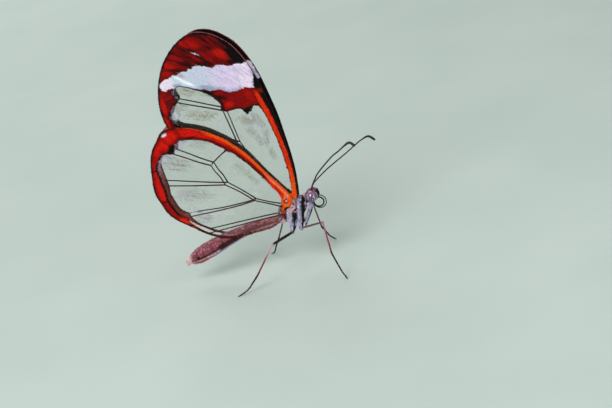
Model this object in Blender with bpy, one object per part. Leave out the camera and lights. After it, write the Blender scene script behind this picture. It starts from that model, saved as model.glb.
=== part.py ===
"""Glasswing butterfly at rest, life size: closed clear wings, slim body, four walking legs.

Lengths are in millimetres and are turned to metres by MM. The body faces +X, its left side is
+Y, and the feet stand on z = 0. Places on the body are measured forward and up from the point
on the floor below the middle of the thorax; the "butterfly" empty then sets the whole model
about the middle of its own box.
"""
import math

import bmesh
import bpy
from mathutils import Vector
from mathutils.geometry import delaunay_2d_cdt

for old in list(bpy.data.objects):
    bpy.data.objects.remove(old, do_unlink=True)

MM = 0.001
LEFT = 1
RIGHT = -1

# Whole model
BODY_FORWARD = 3.43          # the thorax stands this far ahead of the middle of the model's box
GAP = 0.3                    # clearance between neighbouring pieces
SIDE = Vector((0, 1, 0))     # across the body

# Wings: a thin membrane with raised veins
MEMBRANE = 0.5               # thickness of the membrane
VEIN_HEIGHT = 0.13           # how far a vein stands out of each face
VEIN_HALF_WIDTH = 0.35
WING_STEP = 1.3              # spacing of points along margins and veins
FORE_HINGE = (0.1, 11.9)     # forward, up
HIND_HINGE = (-1.2, 10.3)
FORE_ACROSS = 0.53           # middle of the membrane, out from the body's middle plane
FORE_ROOT_OUT = 0.15         # extra at the root, where the wing leaves the shoulder
FORE_ROOT_RISE = 2.5         # height over which that extra fades
HIND_ACROSS = 1.6
HIND_ROOT_OUT = 0.26         # extra low down, where the wing passes the abdomen
HIND_LOW, HIND_HIGH = 9.3, 13.5
FORE_TURN = {RIGHT: 0.0, LEFT: 1.4}     # degrees that each forewing leans forward
HIND_TURN = {RIGHT: 0.0, LEFT: -1.1}

# Margins from the hinge (forward, up): front edge, tip, outer margin, rear corner, hind edge
FORE_MARGIN = [(0.65, -0.1), (0.9, 4.6), (0.85, 10.5), (-0.3, 16.0), (-1.75, 21.2), (-4.3, 25.9),
               (-8.3, 27.8), (-12.2, 26.0), (-15.3, 22.0), (-16.4, 16.7), (-15.7, 13.3),
               (-13.3, 12.2), (-9.1, 9.7), (-5.1, 5.7), (-2.2, 2.1), (-0.75, -0.1)]
HIND_MARGIN = [(1.0, 0.9), (0.7, 2.5), (-0.4, 4.2), (-2.7, 7.8), (-5.0, 11.0), (-9.0, 14.2),
               (-13.2, 16.0), (-15.9, 15.6), (-18.0, 12.6), (-19.15, 7.7), (-18.2, 3.9),
               (-16.4, 0.6), (-12.8, -2.2), (-8.0, -3.35), (-3.8, -2.8), (-1.2, -1.7), (0.2, -0.7)]

# Main veins from the hinge (forward, up)
FORE_VEINS = [
    [(0.1, 0.8), (0.2, 4.8), (-0.3, 9.0), (-0.9, 12.9), (-2.1, 16.5), (-3.9, 20.8), (-6.3, 25.0)],
    [(-0.45, 0.9), (-3.0, 4.9), (-6.1, 9.1)],
    [(-6.1, 9.1), (-6.7, 12.0), (-7.1, 15.2)],
    [(-7.1, 15.6), (-10.5, 17.1), (-15.4, 18.8)],
    [(-6.1, 9.1), (-9.1, 11.6), (-12.0, 13.6), (-15.0, 14.7)],
    [(-2.1, 15.0), (-4.6, 14.6), (-7.1, 15.4)],
    [(-7.1, 15.8), (-10.0, 19.8), (-12.9, 23.8)],
    [(-5.2, 17.6), (-7.6, 22.0), (-9.4, 26.3)],
]
HIND_VEINS = [
    [(0.0, 2.0), (-1.9, 4.5), (-3.8, 7.6), (-6.7, 10.8), (-9.8, 13.3), (-13.3, 13.9)],
    [(-0.8, 0.6), (-4.3, 2.1), (-8.2, 5.7), (-9.7, 9.1), (-15.9, 12.3)],
    [(-9.5, 9.3), (-8.3, 10.2), (-7.0, 10.8)],
    [(-8.2, 5.7), (-13.0, 6.5), (-18.4, 7.0)],
    [(-4.3, 2.1), (-9.6, 1.9), (-15.9, 1.4)],
    [(-1.3, -0.8), (-5.0, -1.1), (-8.7, -1.4), (-13.1, -1.7)],
]

# Body: stations of (forward, up, half width, half height), square to the body's own line
THORAX = [(-2.75, 8.1, 0.35, 0.35), (-2.5, 8.3, 0.75, 0.85), (-1.9, 8.8, 1.02, 1.4),
          (-1.2, 9.2, 1.15, 1.8), (-0.3, 9.65, 1.18, 1.85), (0.5, 10.1, 1.1, 1.5),
          (1.1, 10.5, 0.95, 1.1), (1.5, 10.8, 0.7, 0.75), (1.68, 10.93, 0.35, 0.35)]
ABDOMEN = [(-3.18, 7.94, 0.3, 0.35), (-3.42, 7.91, 0.48, 0.55), (-4.8, 7.75, 0.6, 0.68),
           (-6.8, 7.45, 0.7, 0.79), (-9.4, 6.85, 0.8, 0.92), (-12.0, 6.05, 0.95, 1.1),
           (-14.1, 5.3, 1.05, 1.23), (-15.8, 4.7, 1.0, 1.18), (-17.2, 4.2, 0.78, 0.9),
           (-18.2, 3.85, 0.45, 0.55), (-18.7, 3.7, 0.2, 0.25)]
ABDOMEN_JOINTS = 7           # creases between the rings of the abdomen
CREASE = 0.05                # depth of a crease
HEAD = [(2.05, 11.05, 0.3, 0.35), (2.2, 11.1, 0.5, 0.65), (2.6, 11.2, 0.62, 0.87),
        (3.0, 11.25, 0.6, 0.85), (3.3, 11.2, 0.46, 0.65), (3.5, 11.1, 0.25, 0.35)]

# Eyes: domes on the sides of the head
EYE_CENTRE = (2.9, 11.25)    # forward, up
EYE_RADIUS = 0.86
EYE_INNER = 0.93             # flat side, out from the middle plane
EYE_BULGE = 0.62

# Feelers, from the head to the club: (forward, out, up)
ANTENNA = {
    RIGHT: [(3.0, 0.42, 12.38), (3.87, 1.0, 13.82), (4.96, 1.75, 15.3), (7.49, 3.16, 17.75),
            (8.94, 3.88, 18.8), (10.1, 4.45, 19.7), (10.9, 4.82, 20.1), (11.65, 5.2, 19.5)],
    LEFT: [(3.0, 0.42, 12.38), (3.75, 0.8, 13.0), (5.85, 1.8, 14.2), (8.96, 3.18, 15.6),
           (10.27, 3.76, 16.25), (11.53, 4.31, 16.8), (12.6, 4.76, 16.95), (13.45, 5.2, 15.95)],
}
ANTENNA_RADII = [0.2, 0.25, 0.25, 0.25, 0.27, 0.32, 0.32, 0.18]

# Mouthparts
PALP = [(3.94, 0.42, 11.0), (4.16, 0.42, 11.4), (4.14, 0.4, 11.85), (4.04, 0.38, 12.3)]
PALP_RADII = [0.2, 0.25, 0.22, 0.12]
COIL_CENTRE = (3.8, 9.7)     # forward, up: the tongue is coiled under the head
COIL_OUTER, COIL_INNER = 0.76, 0.48
COIL_START, COIL_SWEEP = 92.0, 325.0    # degrees, turning forward and down
COIL_THICK, COIL_FINE = 0.24, 0.15      # half thickness at the root and at the tip

# Legs: (forward, out, up) of hip, knee, ankle, heel, ball and toe of each walking leg
LEGS = {
    ("mid", RIGHT): [(0.24, 1.15, 6.4), (4.05, 4.3, 8.0), (4.6, 6.3, 3.7), (5.6, 7.45, 1.15),
                     (5.92, 7.7, 0.26), (6.45, 8.1, 0.2)],
    ("mid", LEFT): [(0.24, 1.15, 6.4), (1.75, 5.2, 7.4), (2.1, 5.7, 3.25), (2.8, 6.6, 1.25),
                    (3.1, 7.45, 0.26), (3.4, 8.15, 0.2)],
    ("hind", RIGHT): [(-1.4, 1.15, 6.15), (-3.75, 5.4, 6.6), (-7.2, 6.7, 2.45), (-9.0, 7.0, 0.6),
                      (-9.7, 7.2, 0.22), (-10.7, 7.4, 0.2)],
    ("hind", LEFT): [(-1.4, 1.15, 6.15), (-2.85, 5.3, 6.95), (-5.05, 5.75, 2.5), (-5.85, 6.1, 1.1),
                     (-6.25, 6.3, 0.26), (-7.0, 6.8, 0.2)],
}
COXA_TOP = {"mid": (0.5, 0.68, 7.5), "hind": (-0.9, 0.68, 7.3)}
COXA_RADII = [0.32, 0.45, 0.42, 0.24]
FEMUR_RADII = [0.2, 0.28, 0.27, 0.25, 0.2]
TIBIA_RADII = [0.2, 0.25, 0.25, 0.25, 0.2]
TARSUS_RADII = [0.18, 0.25, 0.25, 0.25, 0.25, 0.16]
LEG_END_RADIUS = 0.2         # half thickness of each leg piece at its ends
FOOT_FLAT = 0.08             # what lies lower than this is the flat sole

# Forelegs: too small to walk on, folded against the breast
FORELEG = [(2.3, 0.5, 9.75), (2.15, 0.52, 9.3), (1.75, 0.5, 8.5), (1.35, 0.45, 7.7), (1.1, 0.4, 7.2)]
FORELEG_RADII = [0.2, 0.27, 0.26, 0.25, 0.15]


def spline(points, count):
    """Count points along the smooth curve through the given points, evenly by length."""
    rows = [Vector(point) for point in points]
    dense = []
    per_span = 24
    for i in range(len(rows) - 1):
        before = rows[max(i - 1, 0)]
        after = rows[min(i + 2, len(rows) - 1)]
        for k in range(per_span):
            dense.append(catmull(before, rows[i], rows[i + 1], after, k / per_span))
    dense.append(rows[-1])
    return spread(dense, count)


def closed_spline(points, count):
    """Count points round the smooth closed curve through the given points."""
    rows = [Vector(point) for point in points]
    total = len(rows)
    dense = []
    per_span = 24
    for i in range(total):
        for k in range(per_span):
            dense.append(catmull(rows[i - 1], rows[i], rows[(i + 1) % total],
                                 rows[(i + 2) % total], k / per_span))
    dense.append(rows[0])
    return spread(dense, count + 1)[:-1]


def catmull(a, b, c, d, t):
    """Catmull-Rom curve between b and c."""
    straight = c - a
    bend = 2 * a - 5 * b + 4 * c - d
    twist = 3 * (b - c) + d - a
    return b + (straight * t + bend * t * t + twist * t * t * t) * 0.5


def spread(dense, count):
    """Count points at equal steps along a dense polyline."""
    lengths = [0.0]
    for a, b in zip(dense, dense[1:]):
        lengths.append(lengths[-1] + (b - a).length)
    result = []
    i = 0
    for k in range(count):
        goal = lengths[-1] * k / (count - 1)
        while i < len(dense) - 2 and lengths[i + 1] < goal:
            i += 1
        part = (goal - lengths[i]) / max(lengths[i + 1] - lengths[i], 1e-9)
        result.append(dense[i].lerp(dense[i + 1], min(part, 1.0)))
    return result


def paint(name, colour, roughness, alpha=1.0):
    """A plain finish for one kind of piece."""
    material = bpy.data.materials.new(name)
    material.use_nodes = True
    shader = material.node_tree.nodes["Principled BSDF"]
    shader.inputs["Base Color"].default_value = (*colour, 1.0)
    shader.inputs["Roughness"].default_value = roughness
    shader.inputs["Metallic"].default_value = 0.0
    shader.inputs["Alpha"].default_value = alpha
    return material


def add_piece(name, bm, material, parent):
    """Turn a mesh under construction into a named object of the model."""
    bmesh.ops.recalc_face_normals(bm, faces=bm.faces[:])
    mesh = bpy.data.meshes.new(name)
    bmesh.ops.scale(bm, vec=(MM, MM, MM), verts=bm.verts[:])
    bm.to_mesh(mesh)
    bm.free()
    mesh.shade_smooth()
    mesh.set_sharp_from_angle(angle=math.radians(40))
    mesh.materials.append(material)
    piece = bpy.data.objects.new(name, mesh)
    bpy.context.collection.objects.link(piece)
    piece.parent = parent
    return piece


def sweep(path, widths, heights, across, sides):
    """A closed tube round a path, with oval rings that are widths wide along across."""
    bm = bmesh.new()
    rings = []
    last = len(path) - 1
    for i, centre in enumerate(path):
        tangent = (path[min(i + 1, last)] - path[max(i - 1, 0)]).normalized()
        wide = (across - tangent * across.dot(tangent)).normalized()
        high = wide.cross(tangent)
        ring = []
        for k in range(sides):
            angle = 2 * math.pi * (k + 0.5) / sides
            offset = wide * widths[i] * math.cos(angle) + high * heights[i] * math.sin(angle)
            ring.append(bm.verts.new(centre + offset))
        rings.append(ring)
    for ring, following in zip(rings, rings[1:]):
        for k in range(sides):
            after = (k + 1) % sides
            bm.faces.new((ring[k], ring[after], following[after], following[k]))
    bm.faces.new(rings[0])
    bm.faces.new(rings[-1])
    return bm


def body_form(stations, rings, sides):
    """A rounded body form in the middle plane, from its (forward, up, width, height) stations."""
    rows = spline(stations, rings)
    path = [Vector((row[0], 0, row[1])) for row in rows]
    return sweep(path, [row[2] for row in rows], [row[3] for row in rows], SIDE, sides)


def tube(points, radii, across, rings, sides):
    """A round tapered tube along (forward, sideways, up) points."""
    rows = spline([(*point, radius) for point, radius in zip(points, radii)], rings)
    path = [Vector(row[:3]) for row in rows]
    thick = [row[3] for row in rows]
    return sweep(path, thick, thick, across, sides)


def on_side(point, side):
    """A (forward, out, up) point on the left or the right side."""
    return (point[0], point[1] * side, point[2])


def drawn_back(joint, end, other_end):
    """Where a leg piece that runs to end starts, clear of the piece that runs to other_end."""
    way = (end - joint).normalized()
    half_bend = way.angle((other_end - joint).normalized()) / 2
    clear = (GAP / 2 + LEG_END_RADIUS * math.cos(half_bend)) / math.sin(half_bend)
    return joint + way * clear


def straight(start, end, radii):
    """As many even points from start to end as there are radii."""
    steps = len(radii) - 1
    return [start.lerp(end, k / steps) for k in range(steps + 1)]


def wing_points(margin, veins):
    """Points of the margin, then points on and beside the veins, as (forward, up)."""
    rim_length = sum((Vector(b) - Vector(a)).length for a, b in zip(margin, margin[1:]))
    rim = closed_spline(margin, round(rim_length / WING_STEP))
    inner = []
    for vein in veins:
        length = sum((Vector(b) - Vector(a)).length for a, b in zip(vein, vein[1:]))
        line = spline(vein, max(3, round(length / WING_STEP) + 1))
        for i, point in enumerate(line):
            ahead = line[min(i + 1, len(line) - 1)] - line[max(i - 1, 0)]
            beside = Vector((-ahead[1], ahead[0])).normalized() * VEIN_HALF_WIDTH
            inner.append(point)
            inner.append(point + beside)
            inner.append(point - beside)
    clear = []
    for point in inner:
        far_from_rim = min((point - other).length for other in rim) > 0.5
        far_from_rest = min([(point - other).length for other in clear] or [1.0]) > 0.24
        if far_from_rim and far_from_rest:
            clear.append(point)
    return rim, clear


def vein_lift(point, lines):
    """How far the vein raises the membrane here."""
    nearest = 1e9
    for line in lines:
        for a, b in zip(line, line[1:]):
            run = b - a
            t = max(0.0, min(1.0, (point - a).dot(run) / run.length_squared))
            nearest = min(nearest, (point - a - run * t).length)
    return VEIN_HEIGHT * max(0.0, 1.0 - nearest / VEIN_HALF_WIDTH)


def wing(margin, veins, across):
    """A wing: its outline and veins in the plate, alike on both faces; across bends the plate."""
    rim, inner = wing_points(margin, veins)
    flat = rim + inner
    outline = list(range(len(rim)))
    result = delaunay_2d_cdt([point[:2] for point in flat], [], [outline], 1, 1e-4, True)
    points, faces = result[0], result[2]
    lines = [spline(vein, 12) for vein in veins]
    bm = bmesh.new()
    outer = []
    under = []
    for point in points:
        lift = vein_lift(point, lines) + MEMBRANE / 2
        middle = across(point)
        outer.append(bm.verts.new((point[0], middle + lift, point[1])))
        under.append(bm.verts.new((point[0], middle - lift, point[1])))
    uses = {}
    for face in faces:
        bm.faces.new([outer[i] for i in face])
        bm.faces.new([under[i] for i in reversed(face)])
        for a, b in zip(face, face[1:] + face[:1]):
            uses.setdefault(frozenset((a, b)), []).append((a, b))
    for edges in uses.values():
        if len(edges) == 1:
            a, b = edges[0]
            bm.faces.new((outer[b], outer[a], under[a], under[b]))
    return bm


def ease(t):
    """A smooth step from 0 to 1."""
    t = max(0.0, min(1.0, t))
    return t * t * (3 - 2 * t)


def fore_across(side):
    """The forewing's place across the body: a little further out at its root."""
    def across(point):
        root = ease(1 - point[1] / FORE_ROOT_RISE)
        return side * (FORE_ACROSS + FORE_ROOT_OUT * root)
    return across


def hind_across(side):
    """The hindwing's place across the body: further out where it passes the abdomen."""
    def across(point):
        height = point[1] + HIND_HINGE[1]
        low = ease((HIND_HIGH - height) / (HIND_HIGH - HIND_LOW))
        return side * (HIND_ACROSS + HIND_ROOT_OUT * low)
    return across


def add_wing(name, bm, hinge, turn, material, parent):
    """Hang a wing on its hinge, leaning forward by turn degrees."""
    piece = add_piece(name, bm, material, parent)
    piece.location = (hinge[0] * MM, 0, hinge[1] * MM)
    piece.rotation_euler = (0, math.radians(turn), 0)
    return piece


def add_wings(parent):
    """Two pairs of closed wings: forewings inside, hindwings outside."""
    fore_paint = paint("forewing", (0.45, 0.12, 0.08), 0.5, 0.6)
    hind_paint = paint("hindwing", (0.7, 0.2, 0.08), 0.5, 0.6)
    for side, word in ((LEFT, "left"), (RIGHT, "right")):
        fore = wing(FORE_MARGIN, FORE_VEINS, fore_across(side))
        add_wing("forewing_" + word, fore, FORE_HINGE, FORE_TURN[side], fore_paint, parent)
        hind = wing(HIND_MARGIN, HIND_VEINS, hind_across(side))
        add_wing("hindwing_" + word, hind, HIND_HINGE, HIND_TURN[side], hind_paint, parent)


def add_abdomen(parent):
    """The long abdomen, creased between its rings."""
    rings = ABDOMEN_JOINTS * 4 + 5
    rows = spline(ABDOMEN, rings)
    path = [Vector((row[0], 0, row[1])) for row in rows]
    widths = []
    heights = []
    for i, row in enumerate(rows):
        crease = CREASE if i % 4 == 0 and 0 < i < rings - 1 else 0.0
        widths.append(row[2] - crease)
        heights.append(row[3] - crease)
    form = sweep(path, widths, heights, SIDE, 16)
    add_piece("abdomen", form, paint("abdomen", (0.27, 0.13, 0.15), 0.75), parent)


def add_eyes(parent):
    """A dome on each side of the head."""
    finish = paint("eye", (0.38, 0.25, 0.3), 0.25)
    tiers = 7
    for side, word in ((LEFT, "left"), (RIGHT, "right")):
        path = []
        radii = []
        for k in range(tiers):
            angle = math.radians(88) * k / (tiers - 1)
            out = EYE_INNER + EYE_BULGE * math.sin(angle)
            path.append(Vector((EYE_CENTRE[0], out * side, EYE_CENTRE[1])))
            radii.append(EYE_RADIUS * math.cos(angle))
        add_piece("eye_" + word, sweep(path, radii, radii, Vector((1, 0, 0)), 16), finish, parent)


def add_head(parent):
    """Head, feelers, palps and the coiled tongue."""
    skin = paint("head", (0.3, 0.25, 0.3), 0.8)
    dark = paint("feelers", (0.03, 0.02, 0.02), 0.5)
    add_piece("head", body_form(HEAD, 12, 16), skin, parent)
    for side, word in ((LEFT, "left"), (RIGHT, "right")):
        feeler = tube([on_side(p, side) for p in ANTENNA[side]], ANTENNA_RADII, SIDE, 26, 8)
        add_piece("antenna_" + word, feeler, dark, parent)
        palp = tube([on_side(p, side) for p in PALP], PALP_RADII, SIDE, 8, 8)
        add_piece("palp_" + word, palp, dark, parent)
    path = []
    thick = []
    turns = 30
    for k in range(turns + 1):
        part = k / turns
        angle = math.radians(COIL_START - COIL_SWEEP * part)
        reach = COIL_OUTER + (COIL_INNER - COIL_OUTER) * part
        path.append(Vector((COIL_CENTRE[0] + reach * math.cos(angle), 0,
                            COIL_CENTRE[1] + reach * math.sin(angle))))
        thick.append(COIL_THICK + (COIL_FINE - COIL_THICK) * part)
    add_piece("proboscis", sweep(path, thick, thick, SIDE, 8), dark, parent)


def add_leg(pair, side, parent, finish):
    """One walking leg: hip piece, thigh, shin and foot, which stands on a small flat sole."""
    name = pair + ("_left" if side == LEFT else "_right")
    hip, knee, ankle, heel, ball, toe = (Vector(on_side(p, side)) for p in LEGS[(pair, side)])
    reach = toe - hip
    across = Vector((-reach.y, reach.x, 0)).normalized()
    top = Vector(on_side(COXA_TOP[pair], side))
    coxa = tube(straight(top, drawn_back(hip, top, knee), COXA_RADII), COXA_RADII, across, 7, 8)
    add_piece("coxa_" + name, coxa, finish, parent)
    start = drawn_back(hip, knee, top)
    end = drawn_back(knee, hip, ankle)
    thigh = tube(straight(start, end, FEMUR_RADII), FEMUR_RADII, across, 8, 8)
    add_piece("femur_" + name, thigh, finish, parent)
    start = drawn_back(knee, ankle, hip)
    end = drawn_back(ankle, knee, heel)
    shin = tube(straight(start, end, TIBIA_RADII), TIBIA_RADII, across, 8, 8)
    add_piece("tibia_" + name, shin, finish, parent)
    start = drawn_back(ankle, heel, knee)
    points = [start, start.lerp(heel, 0.4), heel, ball, ball.lerp(toe, 0.7), toe]
    foot = tube(points, TARSUS_RADII, across, 14, 8)
    for vert in foot.verts:
        if vert.co.z < FOOT_FLAT:
            vert.co.z = 0.0
    add_piece("tarsus_" + name, foot, finish, parent)


def add_legs(parent):
    """Four walking legs and the two small folded forelegs."""
    finish = paint("legs", (0.2, 0.07, 0.08), 0.6)
    for pair, side in LEGS:
        add_leg(pair, side, parent, finish)
    fold = paint("forelegs", (0.5, 0.45, 0.5), 0.8)
    for side, word in ((LEFT, "left"), (RIGHT, "right")):
        leg = tube([on_side(p, side) for p in FORELEG], FORELEG_RADII, SIDE, 9, 8)
        add_piece("foreleg_" + word, leg, fold, parent)


butterfly = bpy.data.objects.new("butterfly", None)
bpy.context.collection.objects.link(butterfly)
butterfly.location = (BODY_FORWARD * MM, 0, 0)

add_piece("thorax", body_form(THORAX, 18, 20), paint("thorax", (0.3, 0.24, 0.28), 0.85), butterfly)
add_abdomen(butterfly)
add_head(butterfly)
add_eyes(butterfly)
add_wings(butterfly)
add_legs(butterfly)
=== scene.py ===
# %% [markdown]
# # A glasswing butterfly, life size
# The real animal stands on four thin legs with its wings closed over its back. Most of each wing
# is clear, because its membrane has lost its scales there, and only the borders are red, black
# and white. The frame holds plain solids at their true size. This script dresses them: thin clear
# membranes, painted borders with real overlapping scales, veins, one skin for the body with hair
# tufts, striped eyes, ringed feelers, a coiled tongue and jointed legs.

# %% Load the frame
import math

import bpy
import numpy as np
from mathutils import Matrix, Vector, noise
from mathutils.bvhtree import BVHTree
from mathutils.geometry import delaunay_2d_cdt


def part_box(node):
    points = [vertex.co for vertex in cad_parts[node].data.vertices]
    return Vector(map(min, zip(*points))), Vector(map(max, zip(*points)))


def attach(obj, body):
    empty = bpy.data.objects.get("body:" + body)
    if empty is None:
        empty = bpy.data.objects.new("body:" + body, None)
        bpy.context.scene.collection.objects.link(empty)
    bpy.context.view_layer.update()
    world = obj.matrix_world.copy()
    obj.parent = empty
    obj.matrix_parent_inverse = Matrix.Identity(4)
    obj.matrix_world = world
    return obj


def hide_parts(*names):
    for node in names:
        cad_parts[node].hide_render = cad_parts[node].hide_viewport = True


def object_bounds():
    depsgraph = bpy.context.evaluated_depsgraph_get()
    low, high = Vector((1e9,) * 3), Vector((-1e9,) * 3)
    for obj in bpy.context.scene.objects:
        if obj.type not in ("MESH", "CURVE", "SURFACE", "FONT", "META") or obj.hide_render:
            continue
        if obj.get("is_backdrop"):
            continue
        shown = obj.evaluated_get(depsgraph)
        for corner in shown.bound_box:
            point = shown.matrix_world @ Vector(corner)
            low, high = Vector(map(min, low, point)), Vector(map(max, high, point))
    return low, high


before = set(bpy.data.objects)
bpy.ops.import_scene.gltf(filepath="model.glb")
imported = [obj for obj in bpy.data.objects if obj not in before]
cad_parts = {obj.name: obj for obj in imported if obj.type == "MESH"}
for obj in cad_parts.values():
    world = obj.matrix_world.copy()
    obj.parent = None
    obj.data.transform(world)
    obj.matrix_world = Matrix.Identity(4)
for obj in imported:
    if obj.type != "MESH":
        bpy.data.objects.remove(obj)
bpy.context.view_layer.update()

# %% [markdown]
# ## Millimetres
# An insect is far smaller than Blender's usual scene, and some tools merge points that lie closer
# than a tenth of a millimetre. So every piece is modelled with one unit to the millimetre,
# forward, left and up from the floor below the middle of the thorax, and it is shrunk and put in
# its place at the very end. That place comes from the frame: the eye's solid says how far
# forward the body stands.

# %% Units and the body's place
MM = 0.001
LEFT, RIGHT = 1, -1
SIDE_NAMES = {LEFT: "left", RIGHT: "right"}
EYE_FORWARD = 2.9
eye_low, eye_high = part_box("eye_right")
BODY_FORWARD = (eye_low.x + eye_high.x) / 2 / MM - EYE_FORWARD
random = np.random.default_rng(7)
print("the thorax stands", round(BODY_FORWARD, 2), "mm ahead of the frame's middle")


# %% Helpers that every piece uses
def deselect():
    """Operators act on all that is selected, so each piece starts from nothing selected."""
    if bpy.context.object and bpy.context.object.mode != "OBJECT":
        bpy.ops.object.mode_set(mode="OBJECT")
    bpy.ops.object.select_all(action="DESELECT")


def only(piece):
    """Select one piece alone and make it the active one."""
    deselect()
    piece.select_set(True)
    bpy.context.view_layer.objects.active = piece


def count(piece):
    """Triangles of a finished piece."""
    piece.data.calc_loop_triangles()
    return len(piece.data.loop_triangles)


def settle(piece, material, nodes=()):
    """Shrink a piece to metres, put it on the frame, give it its finish and hide the frame's solids that it
    replaces.
    """
    piece.data.transform(Matrix.Translation((BODY_FORWARD * MM, 0, 0)) @ Matrix.Scale(MM, 4))
    piece.data.materials.clear()
    piece.data.materials.append(material)
    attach(piece, "root")
    if nodes:
        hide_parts(*nodes)
    print(piece.name, "has", count(piece), "triangles")
    return piece


def face_outward(piece, merge=0.0):
    """Merge points that lie closer than merge, and turn every face outward."""
    only(piece)
    bpy.ops.object.mode_set(mode="EDIT")
    bpy.ops.mesh.select_all(action="SELECT")
    if merge:
        bpy.ops.mesh.remove_doubles(threshold=merge)
    bpy.ops.mesh.normals_make_consistent(inside=False)
    bpy.ops.object.mode_set(mode="OBJECT")


def ease(value, start, end):
    """A smooth step from 0 at start to 1 at end, for numbers or arrays."""
    t = np.clip((np.asarray(value, float) - start) / (end - start), 0.0, 1.0)
    return t * t * (3 - 2 * t)


# %% [markdown]
# ## Camera
# The photograph looks a little down on the right side, with the picture tilted, so that the
# butterfly seems to climb. A long lens at a real distance gives the same mild perspective. The
# camera's place is worked out from where the middle of the thorax shows in the picture.

# %% Camera
PICTURE_WIDTH, PICTURE_HEIGHT = 612, 408
LENS, SENSOR = 100.0, 36.0
AZIMUTH, ELEVATION, ROLL = math.radians(10), math.radians(22), math.radians(14.3)
DISTANCE = 258.0
THORAX_UP = 9.3
THORAX_PIXEL = (296.8, 209.2)

look = Vector((-math.sin(AZIMUTH) * math.cos(ELEVATION), math.cos(AZIMUTH) * math.cos(ELEVATION),
               -math.sin(ELEVATION)))
level_right = Vector((math.cos(AZIMUTH), math.sin(AZIMUTH), 0))
level_up = level_right.cross(look)
camera_right = level_right * math.cos(ROLL) - level_up * math.sin(ROLL)
camera_up = level_right * math.sin(ROLL) + level_up * math.cos(ROLL)
pixels_per_depth = PICTURE_WIDTH * LENS / SENSOR
ray = (look + camera_right * ((THORAX_PIXEL[0] - PICTURE_WIDTH / 2) / pixels_per_depth)
       - camera_up * ((THORAX_PIXEL[1] - PICTURE_HEIGHT / 2) / pixels_per_depth))
eye_point = Vector((BODY_FORWARD, 0, THORAX_UP)) - ray * (DISTANCE / ray.dot(look))

deselect()
bpy.ops.object.camera_add()
camera = bpy.context.object
camera.name = "camera"
turned = Matrix((camera_right, camera_up, -look)).transposed().to_4x4()
turned.translation = eye_point * MM
camera.matrix_world = turned
camera.data.lens = LENS
camera.data.sensor_width = SENSOR
camera.data.clip_start = 0.01
camera.data.clip_end = 10.0
bpy.context.scene.camera = camera
print("the camera stands", round(DISTANCE), "mm from the thorax")

# %% [markdown]
# ## Floor and light
# A museum photographs such a model on a plain pale ground under large soft lamps. The floor is
# wide enough to fill the picture, and the lamps are broad, so that shadows stay soft and thin
# wings are lit through. The plain colour transform keeps the reds as strong as they really are.


# %% Floor and light
def material_with(name):
    """A new node material and its main shader."""
    material = bpy.data.materials.new(name)
    material.use_nodes = True
    return material, material.node_tree, material.node_tree.nodes["Principled BSDF"]


def srgb(red, green, blue):
    """A colour as a screen shows it, 0 to 255, in the linear numbers that shaders use."""
    parts = np.array((red, green, blue), float) / 255
    return np.where(parts <= 0.04045, parts / 12.92, ((parts + 0.055) / 1.055) ** 2.4)


def add_noise(tree, scale, detail=3.0, stretch=(1, 1, 1)):
    """Noise over the piece's own place, with its scale in millimetres per blotch."""
    place = tree.nodes.new("ShaderNodeTexCoord")
    mapping = tree.nodes.new("ShaderNodeMapping")
    mapping.inputs["Scale"].default_value = stretch
    cloud = tree.nodes.new("ShaderNodeTexNoise")
    cloud.inputs["Scale"].default_value = 1 / (scale * MM)
    cloud.inputs["Detail"].default_value = detail
    tree.links.new(place.outputs["Object"], mapping.inputs["Vector"])
    tree.links.new(mapping.outputs["Vector"], cloud.inputs["Vector"])
    return cloud


def add_bump(tree, shader, source, height, strength=1.0):
    """Let a pattern raise the surface by a height in millimetres."""
    bump = tree.nodes.new("ShaderNodeBump")
    bump.inputs["Distance"].default_value = height * MM
    bump.inputs["Strength"].default_value = strength
    tree.links.new(source, bump.inputs["Height"])
    tree.links.new(bump.outputs["Normal"], shader.inputs["Normal"])


def add_ramp(tree, source, stops):
    """Turn a value into colour, through (place, colour) stops."""
    ramp = tree.nodes.new("ShaderNodeValToRGB")
    for i, (place, colour) in enumerate(stops):
        stop = ramp.color_ramp.elements[i] if i < 2 else ramp.color_ramp.elements.new(place)
        stop.position = place
        stop.color = (*colour, 1.0)
    tree.links.new(source, ramp.inputs["Fac"])
    return ramp


FLOOR_SIZE = 3.0
FLOOR_TONES = [(0.3, srgb(192, 206, 199)), (0.7, srgb(199, 212, 205))]
SKY_COLOUR, SKY_STRENGTH = (0.88, 0.95, 0.93, 1), 0.32
deselect()
bpy.ops.mesh.primitive_plane_add(size=FLOOR_SIZE)
floor = bpy.context.object
floor.name = "floor"
floor_finish, tree, shader = material_with("pale_floor")
cloud = add_noise(tree, 30)
ramp = add_ramp(tree, cloud.outputs["Fac"], FLOOR_TONES)
tree.links.new(ramp.outputs["Color"], shader.inputs["Base Color"])
shader.inputs["Roughness"].default_value = 0.9
floor.data.materials.append(floor_finish)
floor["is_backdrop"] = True

# Lamps: name, place and size in millimetres, watts.
LAMPS = [
    ("key", (-120, -260, 300), 220, 1.05),
    ("fill", (300, -160, 160), 260, 0.4),
    ("back", (-160, 280, 240), 260, 0.5),
]
for lamp_name, lamp_place, lamp_size, lamp_watts in LAMPS:
    deselect()
    bpy.ops.object.light_add(type="AREA", location=Vector(lamp_place) * MM)
    lamp = bpy.context.object
    lamp.name = "lamp_" + lamp_name
    lamp.data.size = lamp_size * MM
    lamp.data.energy = lamp_watts
    aim = Vector((0, 0, 15)) * MM - lamp.location
    lamp.rotation_mode = "QUATERNION"
    lamp.rotation_quaternion = aim.to_track_quat("-Z", "Y")

sky = bpy.data.worlds.new("studio")
sky.use_nodes = True
sky.node_tree.nodes["Background"].inputs["Color"].default_value = SKY_COLOUR
sky.node_tree.nodes["Background"].inputs["Strength"].default_value = SKY_STRENGTH
bpy.context.scene.world = sky
bpy.context.scene.view_settings.view_transform = "Standard"
print("floor and", len(LAMPS), "lamps are set")

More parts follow.
